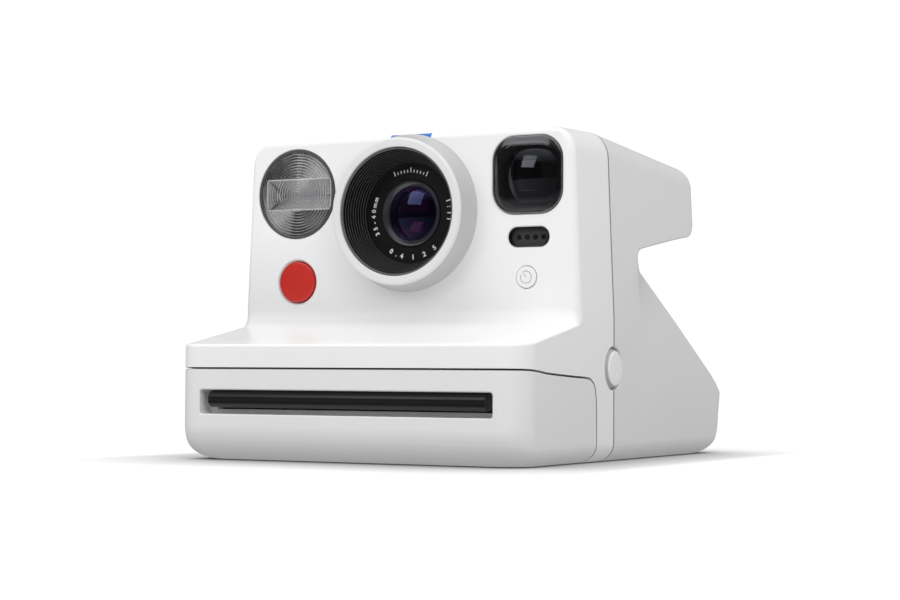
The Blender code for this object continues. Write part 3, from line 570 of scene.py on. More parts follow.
def smooth_path(points, steps):
    """Catmull-Rom through the points."""
    out = []
    last = len(points) - 1
    for i in range(last):
        p0, p1, p2, p3 = (Vector(points[min(last, max(0, i + k))]) for k in (-1, 0, 1, 2))
        for k in range(steps):
            t = k / steps
            out.append(0.5 * ((2 * p1) + (p2 - p0) * t + (2 * p0 - 5 * p1 + 4 * p2 - p3) * t * t
                              + (3 * p1 - p0 - 3 * p2 + p3) * t ** 3))
    out.append(Vector(points[-1]))
    return [tuple(p) for p in out]


def offset_line(points, dist):
    """An open line moved sideways by dist."""
    out = []
    for i, point in enumerate(points):
        before, after = Vector(points[max(0, i - 1)]), Vector(points[min(len(points) - 1, i + 1)])
        ahead = (after - before).normalized()
        out.append((point[0] + ahead.y * dist, point[1] - ahead.x * dist))
    return out


def dome(r_edge, y_mid, y_edge, steps=14):
    """Profile of a spherical surface from the middle to the edge."""
    sag = y_edge - y_mid
    sphere = (r_edge ** 2 + sag ** 2) / (2 * abs(sag))
    sign = math.copysign(1, sag)
    radii = [r_edge * i / steps for i in range(steps + 1)]
    return [(r, y_mid + sign * (sphere - math.sqrt(sphere ** 2 - r ** 2))) for r in radii]


def mirrored(half):
    """Profile made whole by its mirror image along the axis."""
    return half + [(radius, -along) for radius, along in half[::-1]]


def bar(start, end, width, height, normal, mat):
    """A thin bar that stands height proud of the surface with this normal."""
    start, end, normal = Vector(start), Vector(end), Vector(normal).normalized()
    half = (end - start).normalized().cross(normal) * width / 2
    corners = [start - half, start + half, end + half, end - half]
    rings = [[tuple(v - normal * 0.05) for v in corners],
             [tuple(v + normal * height) for v in corners]]
    return stack("bar", rings, mat)


def place(obj, rider, *nodes, slot, weighted=True):
    """Ride on a body and stand for CAD nodes; slot is not used."""
    if weighted:
        modifier = obj.modifiers.new("weighted", "WEIGHTED_NORMAL")
        modifier.keep_sharp = True
        modifier.weight = 90
    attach(obj, rider)
    if nodes:
        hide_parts(*nodes)


def join(name, parts):
    """Several closed meshes with one or more materials as one piece."""
    mesh = bpy.data.meshes.new(name)
    edit = bmesh.new()
    mats = []
    for part in parts:
        start = len(edit.faces)
        edit.from_mesh(part.data)
        edit.faces.ensure_lookup_table()
        index = {}
        for i, mat in enumerate(part.data.materials):
            if mat not in mats:
                mats.append(mat)
            index[i] = mats.index(mat)
        for face in edit.faces[start:]:
            face.material_index = index.get(face.material_index, 0)
    edit.to_mesh(mesh)
    edit.free()
    for mat in mats:
        mesh.materials.append(mat)
    joined = add_object(name, mesh)
    for part in parts:
        bpy.data.objects.remove(part, do_unlink=True)
    return joined


# ================= materials =================
class Shader:
    """The node tree of a material or world, cleared and given one output.

    As a node's input, a value is set, a socket is linked and a node is linked from its
    first output. Colours are three numbers.
    """

    def __init__(self, owner, output="OutputMaterial"):
        self.owner = owner
        owner.use_nodes = True
        self.tree = owner.node_tree
        self.tree.nodes.clear()
        self.output = self.add(output)

    def feed(self, socket, value):
        if isinstance(value, bpy.types.Node):
            value = value.outputs[0]
        if isinstance(value, bpy.types.NodeSocket):
            self.tree.links.new(value, socket)
        elif socket.type == "RGBA":
            socket.default_value = (*value, 1)
        else:
            socket.default_value = value

    def add(self, kind, inputs=None, **props):
        node = self.tree.nodes.new("ShaderNode" + kind)
        for key, value in props.items():
            setattr(node, key, value)
        for key, value in (inputs or {}).items():
            self.feed(node.inputs[key], value)
        return node

    def math(self, operation, *values):
        return self.add("Math", dict(enumerate(values)), operation=operation)

    def vector(self, operation, *values):
        return self.add("VectorMath", dict(enumerate(values)), operation=operation)

    def coords(self):
        return self.add("TexCoord").outputs["Object"]

    def noise(self, scale, detail=2.0, rough=0.5, stretch=None):
        where = self.coords()
        if stretch:
            where = self.add("Mapping", {"Vector": where, "Scale": stretch})
        return self.add("TexNoise", {"Vector": where, "Scale": scale, "Detail": detail,
                                     "Roughness": rough})

    def ramp(self, value, low, high, start=0.25, end=0.75):
        """Maps start..end to low..high, clamped."""
        return self.add("MapRange", {"Value": value, "From Min": start, "From Max": end,
                                     "To Min": low, "To Max": high})

    def blend(self, factor, first, second, mode="MIX"):
        inputs = {0: factor, 6: first, 7: second}
        return self.add("Mix", inputs, data_type="RGBA", blend_type=mode).outputs[2]

    def mix(self, factor, first, second):
        return self.add("MixShader", {0: factor, 1: first, 2: second})

    def offset(self, centre):
        """Place relative to an axis along Y at centre = (x, z) in millimetres."""
        return self.vector("SUBTRACT", self.coords(), (centre[0] * MM, 0, centre[1] * MM))

    def rings(self, offset, pitch):
        """Zigzag of the distance from the axis: 0 on each ring, pitch / 2 between rings."""
        radius = self.vector("LENGTH", self.vector("MULTIPLY", offset, (1, 0, 1)))
        return self.math("PINGPONG", radius.outputs["Value"], pitch * MM / 2)

    def region(self, ramps):
        """Product of ramps (axis, place of 0, place of 1)."""
        where = self.add("SeparateXYZ", {"Vector": self.add("NewGeometry")})
        mask = None
        for axis, zero, one in ramps:
            step = self.ramp(where.outputs[axis], low=float(zero >= one), high=float(zero < one),
                             start=min(zero, one), end=max(zero, one))
            mask = step if mask is None else self.math("MULTIPLY", mask, step)
        return mask

    def finish(self, surface):
        self.feed(self.output.inputs["Surface"], surface)
        return self.owner


def material(name):
    return Shader(bpy.data.materials.new(name))


def moulded(name, rgb, rough, vary=0.012, grain=2400, bump=0.05, depth=0.00002, stretch=None,
            rough_span=0.05, coat=0.0, coat_rough=0.08, metal=0.0, subsurface=0.0, wear=0.0,
            painted_shade=None):
    """Plastic or metal with uneven tone and gloss and a fine grain.

    vary is the change of tone, rough_span that of roughness; wear pales the edges; painted
    shade, if given, is a factor on the colour and the ramps of the region where it sets in.
    """
    shader = material(name)
    tone = shader.ramp(shader.noise(scale=45, detail=3, rough=0.55), low=0, high=1)
    colour = shader.blend(tone, [max(0, c * (1 - vary)) for c in rgb],
                          [min(1, c * (1 + vary)) for c in rgb])
    if wear:
        pointed = shader.add("NewGeometry").outputs["Pointiness"]
        edge = shader.ramp(pointed, low=0, high=wear, start=0.52, end=0.6)
        colour = shader.blend(edge, colour, [min(1, c + 0.25) for c in rgb])
    smear = shader.noise(scale=900 if stretch else 160, detail=4, rough=0.6, stretch=stretch)
    inputs = {
        "Roughness": shader.ramp(smear, low=max(0.01, rough - rough_span),
                                 high=rough + rough_span),
        "Metallic": metal,
        "IOR": 1.5,
        "Coat Weight": coat,
        "Coat Roughness": coat_rough,
    }
    if subsurface:
        inputs["Subsurface Weight"] = subsurface
        inputs["Subsurface Radius"] = (0.0012, 0.0010, 0.0009)
        inputs["Subsurface Scale"] = 1.0
    if bump:
        height = shader.noise(scale=grain, detail=3, rough=0.6, stretch=stretch)
        inputs["Normal"] = shader.add("Bump", {"Strength": bump, "Distance": depth,
                                               "Height": height})
    # Painted shade: the colour darkened by the factor in the region of the ramps
    if painted_shade:
        factor, ramps = painted_shade
        colour = shader.blend(shader.region(ramps), colour, (factor,) * 3, mode="MULTIPLY")
    inputs["Base Color"] = colour
    return shader.finish(shader.add("BsdfPrincipled", inputs))


def coated(name, clear, facing, grazing, low, high, rough=0.02):
    """Clear or dark glass with a reflection tinted from facing to grazing.

    clear is its see-through tint; low and high are the reflection's strengths.
    """
    shader = material(name)
    tint = shader.blend(shader.noise(scale=60), [c * 0.97 for c in clear], clear)
    see_through = shader.add("BsdfTransparent", {"Color": tint})
    smear = shader.noise(scale=300, detail=3)
    angle = shader.add("LayerWeight", {"Blend": 0.35}).outputs["Facing"]
    glossy = shader.add("BsdfGlossy", {
        "Roughness": shader.ramp(smear, low=rough * 0.6, high=rough * 1.5),
        "Color": shader.blend(angle, facing, grazing),
    })
    strength = shader.ramp(angle, low=low, high=high, start=0.0, end=1.0)
    return shader.finish(shader.mix(strength, see_through, glossy))


def ringed(name, centre, pitch, line):
    """Clear plastic crossed by thin pale concentric lines of strength line, painted highlights of
    its rings.
    """
    shader = material(name)
    zigzag = shader.rings(shader.offset(centre), pitch)
    # Painted highlights: a pale line on each ring, uneven along it
    band = shader.ramp(zigzag, low=line, high=0.0, start=0.0, end=0.11 * MM)
    uneven = shader.ramp(shader.noise(scale=140), low=0.25, high=1.0, start=0.35, end=0.65)
    strength = shader.math("MULTIPLY", band, uneven)
    clear = shader.add("BsdfTransparent", {"Color": (0.95, 0.95, 0.955)})
    glossy = shader.add("BsdfGlossy", {"Roughness": 0.06, "Color": (1, 1, 1)})
    angle = shader.add("LayerWeight", {"Blend": 0.3}).outputs["Facing"]
    sheen = shader.ramp(angle, low=0.03, high=0.5, start=0.0, end=1.0)
    base = shader.mix(sheen, clear, glossy)
    pale = shader.add("BsdfDiffuse", {"Color": (0.92, 0.90, 0.90)})
    return shader.finish(shader.mix(strength, base, pale))


def ribbed(name, start, step, count):
    """Black moulding whose ribs, one every step along Y, have a painted highlight on their crests.
    """
    shader = material(name)
    along = shader.add("SeparateXYZ", {"Vector": shader.coords()}).outputs["Y"]
    end = (start + step * count) * MM
    turns = shader.ramp(along, low=0.0, high=float(count), start=start * MM, end=end)
    # Painted highlight: a pale band at each rib's crest
    crest = shader.ramp(shader.math("FRACT", turns), low=1.0, high=0.0, start=0.02, end=0.30)
    inside = shader.ramp(along, low=1.0, high=0.0, start=end - 0.00005, end=end)
    light = shader.math("MULTIPLY", crest, inside)
    tone = shader.noise(scale=220, detail=3)
    light = shader.math("MULTIPLY", light, shader.ramp(tone, low=0.6, high=1.0))
    return shader.finish(shader.add("BsdfPrincipled", {
        "Base Color": shader.blend(light, (0.006, 0.006, 0.007), (0.16, 0.16, 0.165)),
        "Roughness": shader.ramp(tone, low=0.30, high=0.42),
    }))


def turned(name, centre, tilt, dark, light, pitch):
    """Turned bright metal with a painted reflection: opposite bright fans, tilted by tilt, painted
    into its colour and crossed by concentric cuts.
    """
    shader = material(name)
    offset = shader.offset(centre)
    where = shader.add("SeparateXYZ", {"Vector": offset}).outputs
    # Painted reflection: bright fans at two opposite angles about the centre
    angle = shader.math("ARCTAN2", where["Z"], where["X"])
    double = shader.math("MULTIPLY_ADD", angle, 2.0, -2.0 * math.radians(tilt))
    wave = shader.math("COSINE", double)
    painted_fans = shader.ramp(wave, low=0.0, high=1.0, start=-0.2, end=1.0)
    zigzag = shader.rings(offset, pitch)
    cuts = shader.ramp(zigzag, low=0.45, high=1.0, start=0.0, end=0.5 * pitch * MM / 2)
    smear = shader.noise(scale=260, detail=3)
    bright = shader.math("MULTIPLY", painted_fans, cuts)
    bright = shader.math("MULTIPLY", bright, shader.ramp(smear, low=0.7, high=1.1))
    return shader.finish(shader.add("BsdfPrincipled", {
        "Base Color": shader.blend(bright, dark, light),
        "Metallic": 0.35,
        "Roughness": shader.ramp(smear, low=0.25, high=0.4),
    }))


def board(name):
    """Green circuit board with traces and gilt pads."""
    shader = material(name)
    where = shader.coords()
    traces = shader.add("TexBrick", {
        "Vector": where,
        "Scale": 420,
        "Mortar Size": 0.09,
        "Color1": (0.012, 0.15, 0.05),
        "Color2": (0.015, 0.19, 0.065),
        "Mortar": (0.03, 0.30, 0.11),
    })
    cells = shader.add("TexVoronoi", {"Vector": where, "Scale": 330})
    pad = shader.ramp(cells, low=1, high=0, start=0.1, end=0.13)
    return shader.finish(shader.add("BsdfPrincipled", {
        "Base Color": shader.blend(pad, traces, (0.72, 0.6, 0.28)),
        "Metallic": pad,
        "Roughness": 0.38,
        "Coat Weight": 0.3,
    }))


# White and grey plastics. Painted shade darkens parts of the covers, in regions given in metres.
SHELL = dict(rough=0.36, bump=0.06, coat=0.06, coat_rough=0.3)
WHITE = moulded("white_plastic", (0.88, 0.88, 0.882), **SHELL)
# Painted shade: the face below the lens ring, where the ring's shadow falls
FRONT_SHADED_WHITE = moulded("front_plastic_painted_shade", (0.88, 0.88, 0.882), **SHELL, painted_shade=(0.83, [
    ("Z", 0.068, 0.046), ("Z", 0.0384, 0.0400), ("X", 0.046, 0.018), ("Y", -0.0455, -0.0435)]))
# Painted shade: the bay's side facets and slope just under the overhang, darkest at the top
REAR_SHADED_WHITE = moulded("rear_plastic_painted_shade", (0.765, 0.765, 0.768), rough=0.38, bump=0.06, painted_shade=(0.84, [
    ("Y", 0.0058, 0.0066), ("Y", 0.030, 0.0066), ("Z", 0.040, 0.0565), ("Z", 0.0588, 0.0584)]))
DOOR_WHITE = moulded("door_plastic", (0.80, 0.80, 0.803), **SHELL)
# Painted shade: a grey for the latch button's side wall, shaded in its gap
WALL_SHADE_GREY = moulded("button_wall_painted_shade", (0.50, 0.50, 0.505), rough=0.45, vary=0.015)
# Painted shade: a dark grey for the faces in the seams and grooves between the shells
SEAM_SHADE_GREY = moulded("seam_painted_shade", (0.24, 0.24, 0.245), rough=0.5, vary=0.02)
# Painted shade: darker copies of the white plastic for the lens ring, its front lip less dark than
# its tube
LIP_SHADED_WHITE = moulded("ring_lip_painted_shade_plastic", (0.74, 0.74, 0.745), rough=0.42)
RING_SHADED_WHITE = moulded("ring_painted_shade_plastic", (0.53, 0.53, 0.535), rough=0.42)
BUTTON_WHITE = moulded("button_plastic", (0.84, 0.84, 0.845), rough=0.38)
WHITE_EDGE = moulded("flash_edge", (0.86, 0.84, 0.85), rough=0.3, vary=0.05, grain=900)
# Prints
ICON_GREY = moulded("icon_print", (0.36, 0.36, 0.37), rough=0.5, vary=0.08, grain=3000, bump=0.02)
MARK = moulded("mark_print", (0.78, 0.78, 0.78), rough=0.5, vary=0.05, grain=3000, bump=0.02)
SEGMENTS = moulded("counter_segments", (0.30, 0.07, 0.02), rough=0.4, vary=0.1, grain=2000,
                   bump=0.02)
# Blacks
BLACK = moulded("black_plastic", (0.016, 0.016, 0.018), rough=0.42, vary=0.15, grain=1800,
                bump=0.12, wear=0.05)
BEZEL = moulded("bezel_black", (0.032, 0.033, 0.040), rough=0.2, vary=0.15, grain=900,
                bump=0.02, coat=0.8, coat_rough=0.1, rough_span=0.03)
SHEET = moulded("sheet_black", (0.010, 0.010, 0.011), rough=0.24, vary=0.15, grain=900,
                bump=0.02, coat=0.15, coat_rough=0.2)
GLOSS = moulded("gloss_black", (0.008, 0.008, 0.009), rough=0.09, vary=0.2, grain=900,
                bump=0.02, coat=0.6, coat_rough=0.04, rough_span=0.03)
SENSOR = moulded("sensor_black", (0.006, 0.006, 0.007), rough=0.16, vary=0.2, grain=1500,
                 bump=0.02, coat=0.3, rough_span=0.03)
SENSOR_PLATE = moulded("sensor_plate", (0.045, 0.045, 0.047), rough=0.4, vary=0.15,
                       grain=1800, bump=0.06)
FLASH_RIM = moulded("flash_rim", (0.075, 0.075, 0.076), rough=0.18, vary=0.15, grain=900,
                    coat=0.4)
# Colours
RED = moulded("red_plastic", (0.52, 0.026, 0.018), rough=0.24, vary=0.06, grain=1600,
              bump=0.02, coat=0.35, coat_rough=0.12, subsurface=0.12)
BLUE = moulded("accent_blue", (0.03, 0.17, 0.58), rough=0.32, vary=0.06, grain=2000, bump=0.04)
SLEEVE = moulded("capacitor_sleeve", (0.035, 0.045, 0.10), rough=0.34, vary=0.12, grain=1200,
                 bump=0.06, coat=0.3)
# Metals
SILVER = moulded("silvered_reflector", (0.82, 0.81, 0.82), rough=0.16, vary=0.05, grain=260,
                 bump=0.25, metal=1.0, rough_span=0.08, depth=0.00012)
STEEL = moulded("steel", (0.56, 0.56, 0.57), rough=0.3, vary=0.06, grain=900, bump=0.15,
                metal=1.0, stretch=(0.06, 1, 1), rough_span=0.1)
ROLLER_STEEL = moulded("roller_steel", (0.5, 0.5, 0.51), rough=0.22, vary=0.05, grain=1400,
                       bump=0.1, metal=1.0, stretch=(0.04, 1, 1), rough_span=0.08)
BRASS = moulded("brass", (0.76, 0.54, 0.22), rough=0.3, vary=0.08, grain=1200, bump=0.12,
                metal=1.0, rough_span=0.08)
MIRROR = moulded("mirror_glass", (0.88, 0.9, 0.9), rough=0.03, vary=0.01, bump=0.0, metal=1.0,
                 rough_span=0.012)
# Reflector trough: half-metal with real gloss; its strong streaky tone is painted reflection
TROUGH_PAINTED_REFLECTION = moulded("trough_painted_reflection", (0.92, 0.89, 0.89), rough=0.20, vary=0.34, grain=320, bump=0.5,
                 metal=0.45, rough_span=0.1, depth=0.0002, stretch=(0.35, 1.0, 1.6))
# Flash plate: turned metal whose bright fans are a painted reflection
TURNED_PAINTED_GLINT = turned("turned_disc_painted_glint", FLASH, tilt=28, dark=(0.06, 0.06, 0.058),
                light=(1.0, 0.98, 0.98), pitch=FLASH_PITCH)
# Glass and clear plastic
LENS_GLASS = coated("coated_glass", (0.72, 0.72, 0.78), facing=(0.34, 0.40, 0.95),
                    grazing=(0.50, 0.45, 1.0), low=0.035, high=0.75, rough=0.015)
INNER_GLASS = coated("inner_glass", (0.16, 0.14, 0.16), facing=(1.0, 0.22, 0.60),
                     grazing=(0.75, 0.25, 0.75), low=0.11, high=0.4, rough=0.03)
CLEAR = coated("clear_plastic", (0.93, 0.935, 0.94), facing=(0.95, 0.96, 1.0),
               grazing=(1, 1, 1), low=0.035, high=0.55)
FINDER_GLASS = coated("finder_glass", (0.34, 0.35, 0.37), facing=(0.85, 0.88, 1.0),
                      grazing=(1, 1, 1), low=0.07, high=0.5)
# Flash lens: clear plastic with painted highlights on its rings
FRESNEL_PAINTED_GLINTS = ringed("fresnel_painted_glints", FLASH, pitch=FLASH_PITCH, line=0.62)

FINISH = {
    "white_plastic": WHITE, "black_plastic": BLACK, "gloss_black_plastic": GLOSS,
    "red_plastic": RED, "accent_blue": BLUE, "coated_glass": LENS_GLASS,
    "clear_plastic": CLEAR, "silvered_reflector": SILVER, "steel": STEEL, "brass": BRASS,
    "green_board": board("green_board"), "capacitor_sleeve": SLEEVE, "mirror_glass": MIRROR,
}
for subpart in frame["record"]["subparts"]:
    slots = frame["nodes"][subpart["node"]].data.materials
    slots.clear()
    slots.append(FINISH[subpart["material_slot"]])


# ================= door line and seam groove =================
# The door's upper and rear edge in side view (y, z), down to the rounding about the hinge
SIDE = smooth_path([
    (-85, 26.35), (-70, 26.15), (-59, 25.2), (-45, 24.5), (-34, 24.0),
    (-31, 23.3), (-29, 21.8), (-28, 19), (-27.6, 15), (-27.5, 9),
], 5)
SIDE += arc(HINGE, HINGE_R, 0, -90, 18)


def outline(dist):
    """Closed side view of the door's region, offset by dist."""
    points = SIDE + [(HINGE_Y, -6), (-85, -6)]
    out = []
    for i, point in enumerate(points):
        here = Vector(point)
        before, after = here - Vector(points[i - 1]), Vector(points[(i + 1) % len(points)]) - here
        if before.length < 1e-5 or after.length < 1e-5:
            continue
        before.normalize()
        after.normalize()
        normal = Vector((before.y, -before.x))
        mitre = (normal + Vector((after.y, -after.x))).normalized()
        out.append(tuple(here - mitre * dist / max(0.4, mitre.dot(normal))))
    return out


def seam_path():
    """Door line wrapped round the body, from the base on one side to the base on the other."""

    def line_z(y):
        if y < -70:
            return 26.15 + (26.35 - 26.15) * (y + 70) / -15
        return 26.15 - 0.95 * (y + 70) / 11

    corner_y = Y_FRONT + R_PLAN_FRONT
    side = [(half_w(z), y, z) for y, z in SIDE if y > corner_y + 0.4 and z > 0.05]
    corner = [(HALF_W - R_PLAN_FRONT + x, y, line_z(y))
              for x, y in arc((0, corner_y), R_PLAN_FRONT, 0, -90, 14)]
    half = [(47.2, side[-1][1] - 0.1, -0.25)] + side[::-1] + corner
    middle = [(x, Y_FRONT, line_z(Y_FRONT)) for x in (24, 0, -24)]
    return half + middle + [(-x, y, z) for x, y, z in half[::-1]]


SEAM = seam_path()

# ================= front cover =================
# Accent strip's line over the top edge, in side view (y, z)
STRIP = [(FACE_Y, 91.6), (FACE_Y, 92.2)]
for z in (92.7, 93.1, 93.4, 93.65, 93.82, 93.93, 94.0):
    y = y_front(z)
    STRIP.append((y, z + top_z(y) * (z - CROWN_Z) / (Z_TOP - CROWN_Z)))
STRIP += [(y, Z_TOP + top_z(y)) for y in (-36.5, -34.0, -30.0, -26.0, -22.0, -18.0)]


def latch_bore():
    return bore(LATCH_R + 0.15, HALF_W, 50, LATCH, chamfer=0.3, axis="x")


front = body("front_cover_shell", front_section, 0, SEAM_Y - GAP, OUT_FRONT, soft=True)
cut(front, body("cavity", front_section, WALL, SEAM_Y + 6, IN_FRONT, segs=5))
cut(front, prism("door_room", outline(0.2), "x", -70, 70))
combine(front, box((-47.4, -29.3, 0.1), (47.4, -27.0, 1.9)), "UNION")
VF_HOLE = (VF_BOX[0] - 0.1, VF_BOX[1] + 0.1, VF_BOX[2] - 0.1, VF_BOX[3] + 0.1)
cut(
    front,
    bore(20.0, FACE_Y, -34.5, LENS, chamfer=0.0),
    bore(FLASH_R + 0.12, FACE_Y, -35, FLASH, chamfer=0.18),
    window_cut(VF_HOLE, VF_R, FACE_Y, -36.6, chamfer=0.2),
    window_cut(PILL_BOX, PILL_R, FACE_Y, -35, chamfer=0.3),
    bore(SHUTTER_R + 0.25, FACE_Y, -35, SHUTTER, chamfer=0.55),
    bore(TIMER_R + 0.18, FACE_Y, -35, TIMER, chamfer=0.12),
    latch_bore(),
    prism("strip_room", offset_line(STRIP, -0.9) + offset_line(STRIP, 0.6)[::-1], "x", -5.35, 8.35),
    tube(SEAM, GROOVE_R),
)
front.data.materials.append(FRONT_SHADED_WHITE)
# Painted shade in the groove round the door
paint_shade(front, SEAM_SHADE_GREY, near_path(SEAM, 0.36))
place(front, "body", "front_cover", slot="white_plastic")

strip_line = offset_line(STRIP, 0.03) + offset_line(STRIP, 0.52)[::-1]
strip = prism("accent_strip_print", strip_line, "x", -5.2, 8.2, BLUE)
place(strip, "body", "accent_strip", slot="accent_blue")

# ================= rear cover =================
SLOPE_ALONG = Vector(
    (0, SLOPE_HEAD[0] - SLOPE_FOOT[0], SLOPE_HEAD[1] - SLOPE_FOOT[1])
).normalized()
SLOPE_NORMAL = -Vector((0, SLOPE_ALONG.z, -SLOPE_ALONG.y))
if SLOPE_NORMAL.z < 0:
    SLOPE_NORMAL = -SLOPE_NORMAL


def on_slope(x, up, height):
    foot = Vector((x, SLOPE_FOOT[0], SLOPE_FOOT[1]))
    return foot + SLOPE_ALONG * up + SLOPE_NORMAL * height


def slope_stack(name, sections, mat=None):
    """Outlines in (x, up the slope), each with its height above the slope."""
    rings = [[tuple(on_slope(x, up, height)) for x, up in points] for points, height in sections]
    return stack(name, rings, mat)


def circle(centre, radius, segs=72):
    turns = [2 * math.pi * k / segs for k in range(segs)]
    return [(centre[0] + radius * math.cos(a), centre[1] + radius * math.sin(a)) for a in turns]


def rect_about(centre, half_x, half_z):
    return (centre[0] - half_x, centre[0] + half_x, centre[1] - half_z, centre[1] + half_z)


rear = body("rear_cover_shell", rear_section, 0, SEAM_Y + GAP, OUT_REAR, soft=True)
cavity = body("cavity", rear_section, WALL, SEAM_Y - 6, IN_REAR, segs=5)
for side in (-1, 1):
    # solid blocks left in the shell at the notch
    cut(cavity, box((side * 47.5, 0.5, 51.0), (side * 60, 11.0, 60.5)))
cut(rear, cavity)
COUNTER_HOLE = rect_about(COUNTER, 6.2, 4.2)
cut(
    rear,
    latch_bore(),
    rect_stack("eye", rect_about(EYE, 8.2, 6.2), 3.0, 8,
               [(-0.3, 60), (-0.3, BACK_Y), (0, BACK_Y - 0.3), (0, 49)]),
    bore(4.7, BACK_Y, 49, FLASH_BUTTON, chamfer=0.25),
    slope_stack("power", [(circle(POWER, radius), height) for radius, height in
                          ((4.95, 4), (4.95, 0), (4.7, -0.25), (4.7, -6))]),
    slope_stack("counter", [(inset_rect(COUNTER_HOLE, inset, 1.5, 6), height) for inset, height in
                            ((-0.25, 4), (-0.25, 0), (0, -0.25), (0, -6))]),
    rect_stack("port", (-4.8, 4.8, 27.7, 31.9), 1.3, 6,
               [(-0.3, -60), (-0.3, -56.0), (0, -55.7), (0, -50)], axis="x"),
)
for spot in SCREWS:
    recess = [(0, -1), (3.3, -1), (3.3, 0), (3.0, 0.3), (3.0, 1.1), (0, 1.1)]
    cut(rear, disc(1.5, -1, 4, spot, "z", 48), lathe("recess", recess, spot, axis="z", segs=48))
rear.data.materials.append(REAR_SHADED_WHITE)
# Painted shade in the seam gap at the rear cover's front edge
paint_shade(rear, SEAM_SHADE_GREY, lambda point: abs(point.y - SEAM_Y) < 0.42)
place(rear, "body", "rear_cover", slot="white_plastic")

# ================= film door =================
door = body("film_door_shell", front_section, 0, SEAM_Y - GAP, OUT_FRONT)
combine(door, prism("door_region", outline(-0.2), "x", -70, 70), "INTERSECT")
cut(door, body("cavity", front_section, WALL, SEAM_Y + 6, IN_FRONT, segs=5))
combine(door, box((-49.2, -73.9, 10.6), (49.2, -66.6, 22.4)), "UNION")
for side in (-1, 1):
    ear = [(HINGE_Y - 3.2, 1.2), (HINGE_Y + 3.2, 1.2)] + arc(HINGE, 3.2, 0, 180, 24)
    combine(door, prism("ear", ear, "x", side * 48.9, side * 51.3), "UNION")
    cut(door, disc(1.0, side * 47, side * 53, HINGE, "x", 32))
cut(
    door,
    window_cut(SLOT_BOX, 0.8, Y_FRONT, SLOT_Y, chamfer=0.3, segs=5),
    box((-44.6, -70, 14.5), (44.6, -60, 16.6)),
    box((-48.6, -32.2, -1), (48.6, -20, 8)),
    *[box((s * 48.6, HINGE_Y - 1.8, 2.0), (s * 47.3, -20, 8)) for s in (-1, 1)],
    tube(SEAM, GROOVE_R),
)
door.data.materials.append(DOOR_WHITE)
# Painted shade in the groove round the door
paint_shade(door, SEAM_SHADE_GREY, near_path(SEAM, 0.36))
place(door, "film_door", "film_door", slot="white_plastic")

# Film shield: a glossy black sheet rolled up in the slot; stations are (x, scale)
roll = []
for k in range(53):
    turn, radius = math.radians(200 + 8 * k), 2.56 - 0.2 * k / 52
    roll.append((radius * math.cos(turn), radius * math.sin(turn)))
stations = [(-SHIELD_X, 0.72), (-SHIELD_X + 0.12, 0.86), (-SHIELD_X + 0.45, 1.0),
            (SHIELD_X - 0.45, 1.0), (SHIELD_X - 0.12, 0.86), (SHIELD_X, 0.72)]
shield = stack("film_shield_roll", [
    [(x, SHIELD_Y + y * scale, SHIELD_Z + z * scale) for y, z in roll] for x, scale in stations
], SHEET, angle=40)
place(shield, "film_shield", "film_shield", slot="gloss_black_plastic")

for name, z in (("upper_roller", NIP_Z + ROLLER_RISE), ("lower_roller", NIP_Z - ROLLER_RISE)):
    profile = mirrored([
        (0, -50.9), (1.25, -50.9), (1.4, -50.75), (1.4, -46.9), (2.6, -46.85), (2.8, -47.2),
        (3.5, -47.2), (3.7, -46.9), (ROLLER_R - 0.15, -46.7), (ROLLER_R, -46.5),
    ])
    roller = lathe(name + "_turned", profile, (ROLLER_Y, z), ROLLER_STEEL, axis="x")
    place(roller, name, name, slot="steel")

# ================= lens =================
profile = [
    (19.8, -36.4), (RING_BORE, -36.4),
    *arc((RING_BORE + 0.35, RING_Y + 0.35), 0.35, 180, 270, 6),
    *arc((RING_R - 0.95, RING_Y + 0.95), 0.95, 270, 360, 12),
    (RING_R + 0.55, -42.4), (RING_R + 1.0, -40.6), (22.7, -39.95), (22.85, -39.6),
    (23.05, -39.36), (23.05, FACE_Y + 0.1), (19.8, FACE_Y + 0.1),
]
# The ring's tube and front lip take the painted-shade whites, the lip the lighter one
ring = lathe("lens_ring_turned", profile, LENS, RING_SHADED_WHITE, segs=180)
ring.data.materials.append(LIP_SHADED_WHITE)
for face in ring.data.polygons:
    mean_y = sum(ring.data.vertices[i].co.y for i in face.vertices) / len(face.vertices)
    if mean_y < (RING_Y + 0.55) * MM:
        face.material_index = 1
place(ring, "body", "lens_ring", slot="white_plastic")

# Ribbed cone behind the ring, down to the flat ring round the glass
RIBS = 10
CONE_FRONT, CONE_BACK = (18.05, RING_Y + 0.9), (14.55, -37.3)     # (radius, y)
rib_r = (CONE_FRONT[0] - CONE_BACK[0]) / RIBS
rib_y = (CONE_BACK[1] - CONE_FRONT[1]) / RIBS
profile = [(18.55, -36.6), (18.55, RING_Y + 0.75), (18.4, RING_Y + 0.6), (18.2, RING_Y + 0.6),
           (18.08, RING_Y + 0.72)]
for i in range(RIBS):
    r, y = CONE_FRONT[0] - rib_r * i, CONE_FRONT[1] + rib_y * i
    profile += [(r, y + 0.04), (r - 0.02, y + 0.12), (r + 0.13, y + rib_y * 0.5),
                (r + 0.10, y + rib_y - 0.05), (r - rib_r + 0.05, y + rib_y - 0.02)]
profile += [(14.45, -37.0), (14.38, -36.92), (9.9, -36.92), (9.84, -36.8), (9.84, -35.4),
            (16.5, -35.4), (17.0, -36.6)]
rib_black = ribbed("ribbed_black.001", start=CONE_FRONT[1], step=rib_y, count=RIBS)
baffle = lathe("lens_baffle_ribbed", profile, LENS, rib_black, segs=180, angle=20)
place(baffle, "body", "lens_baffle", slot="black_plastic")

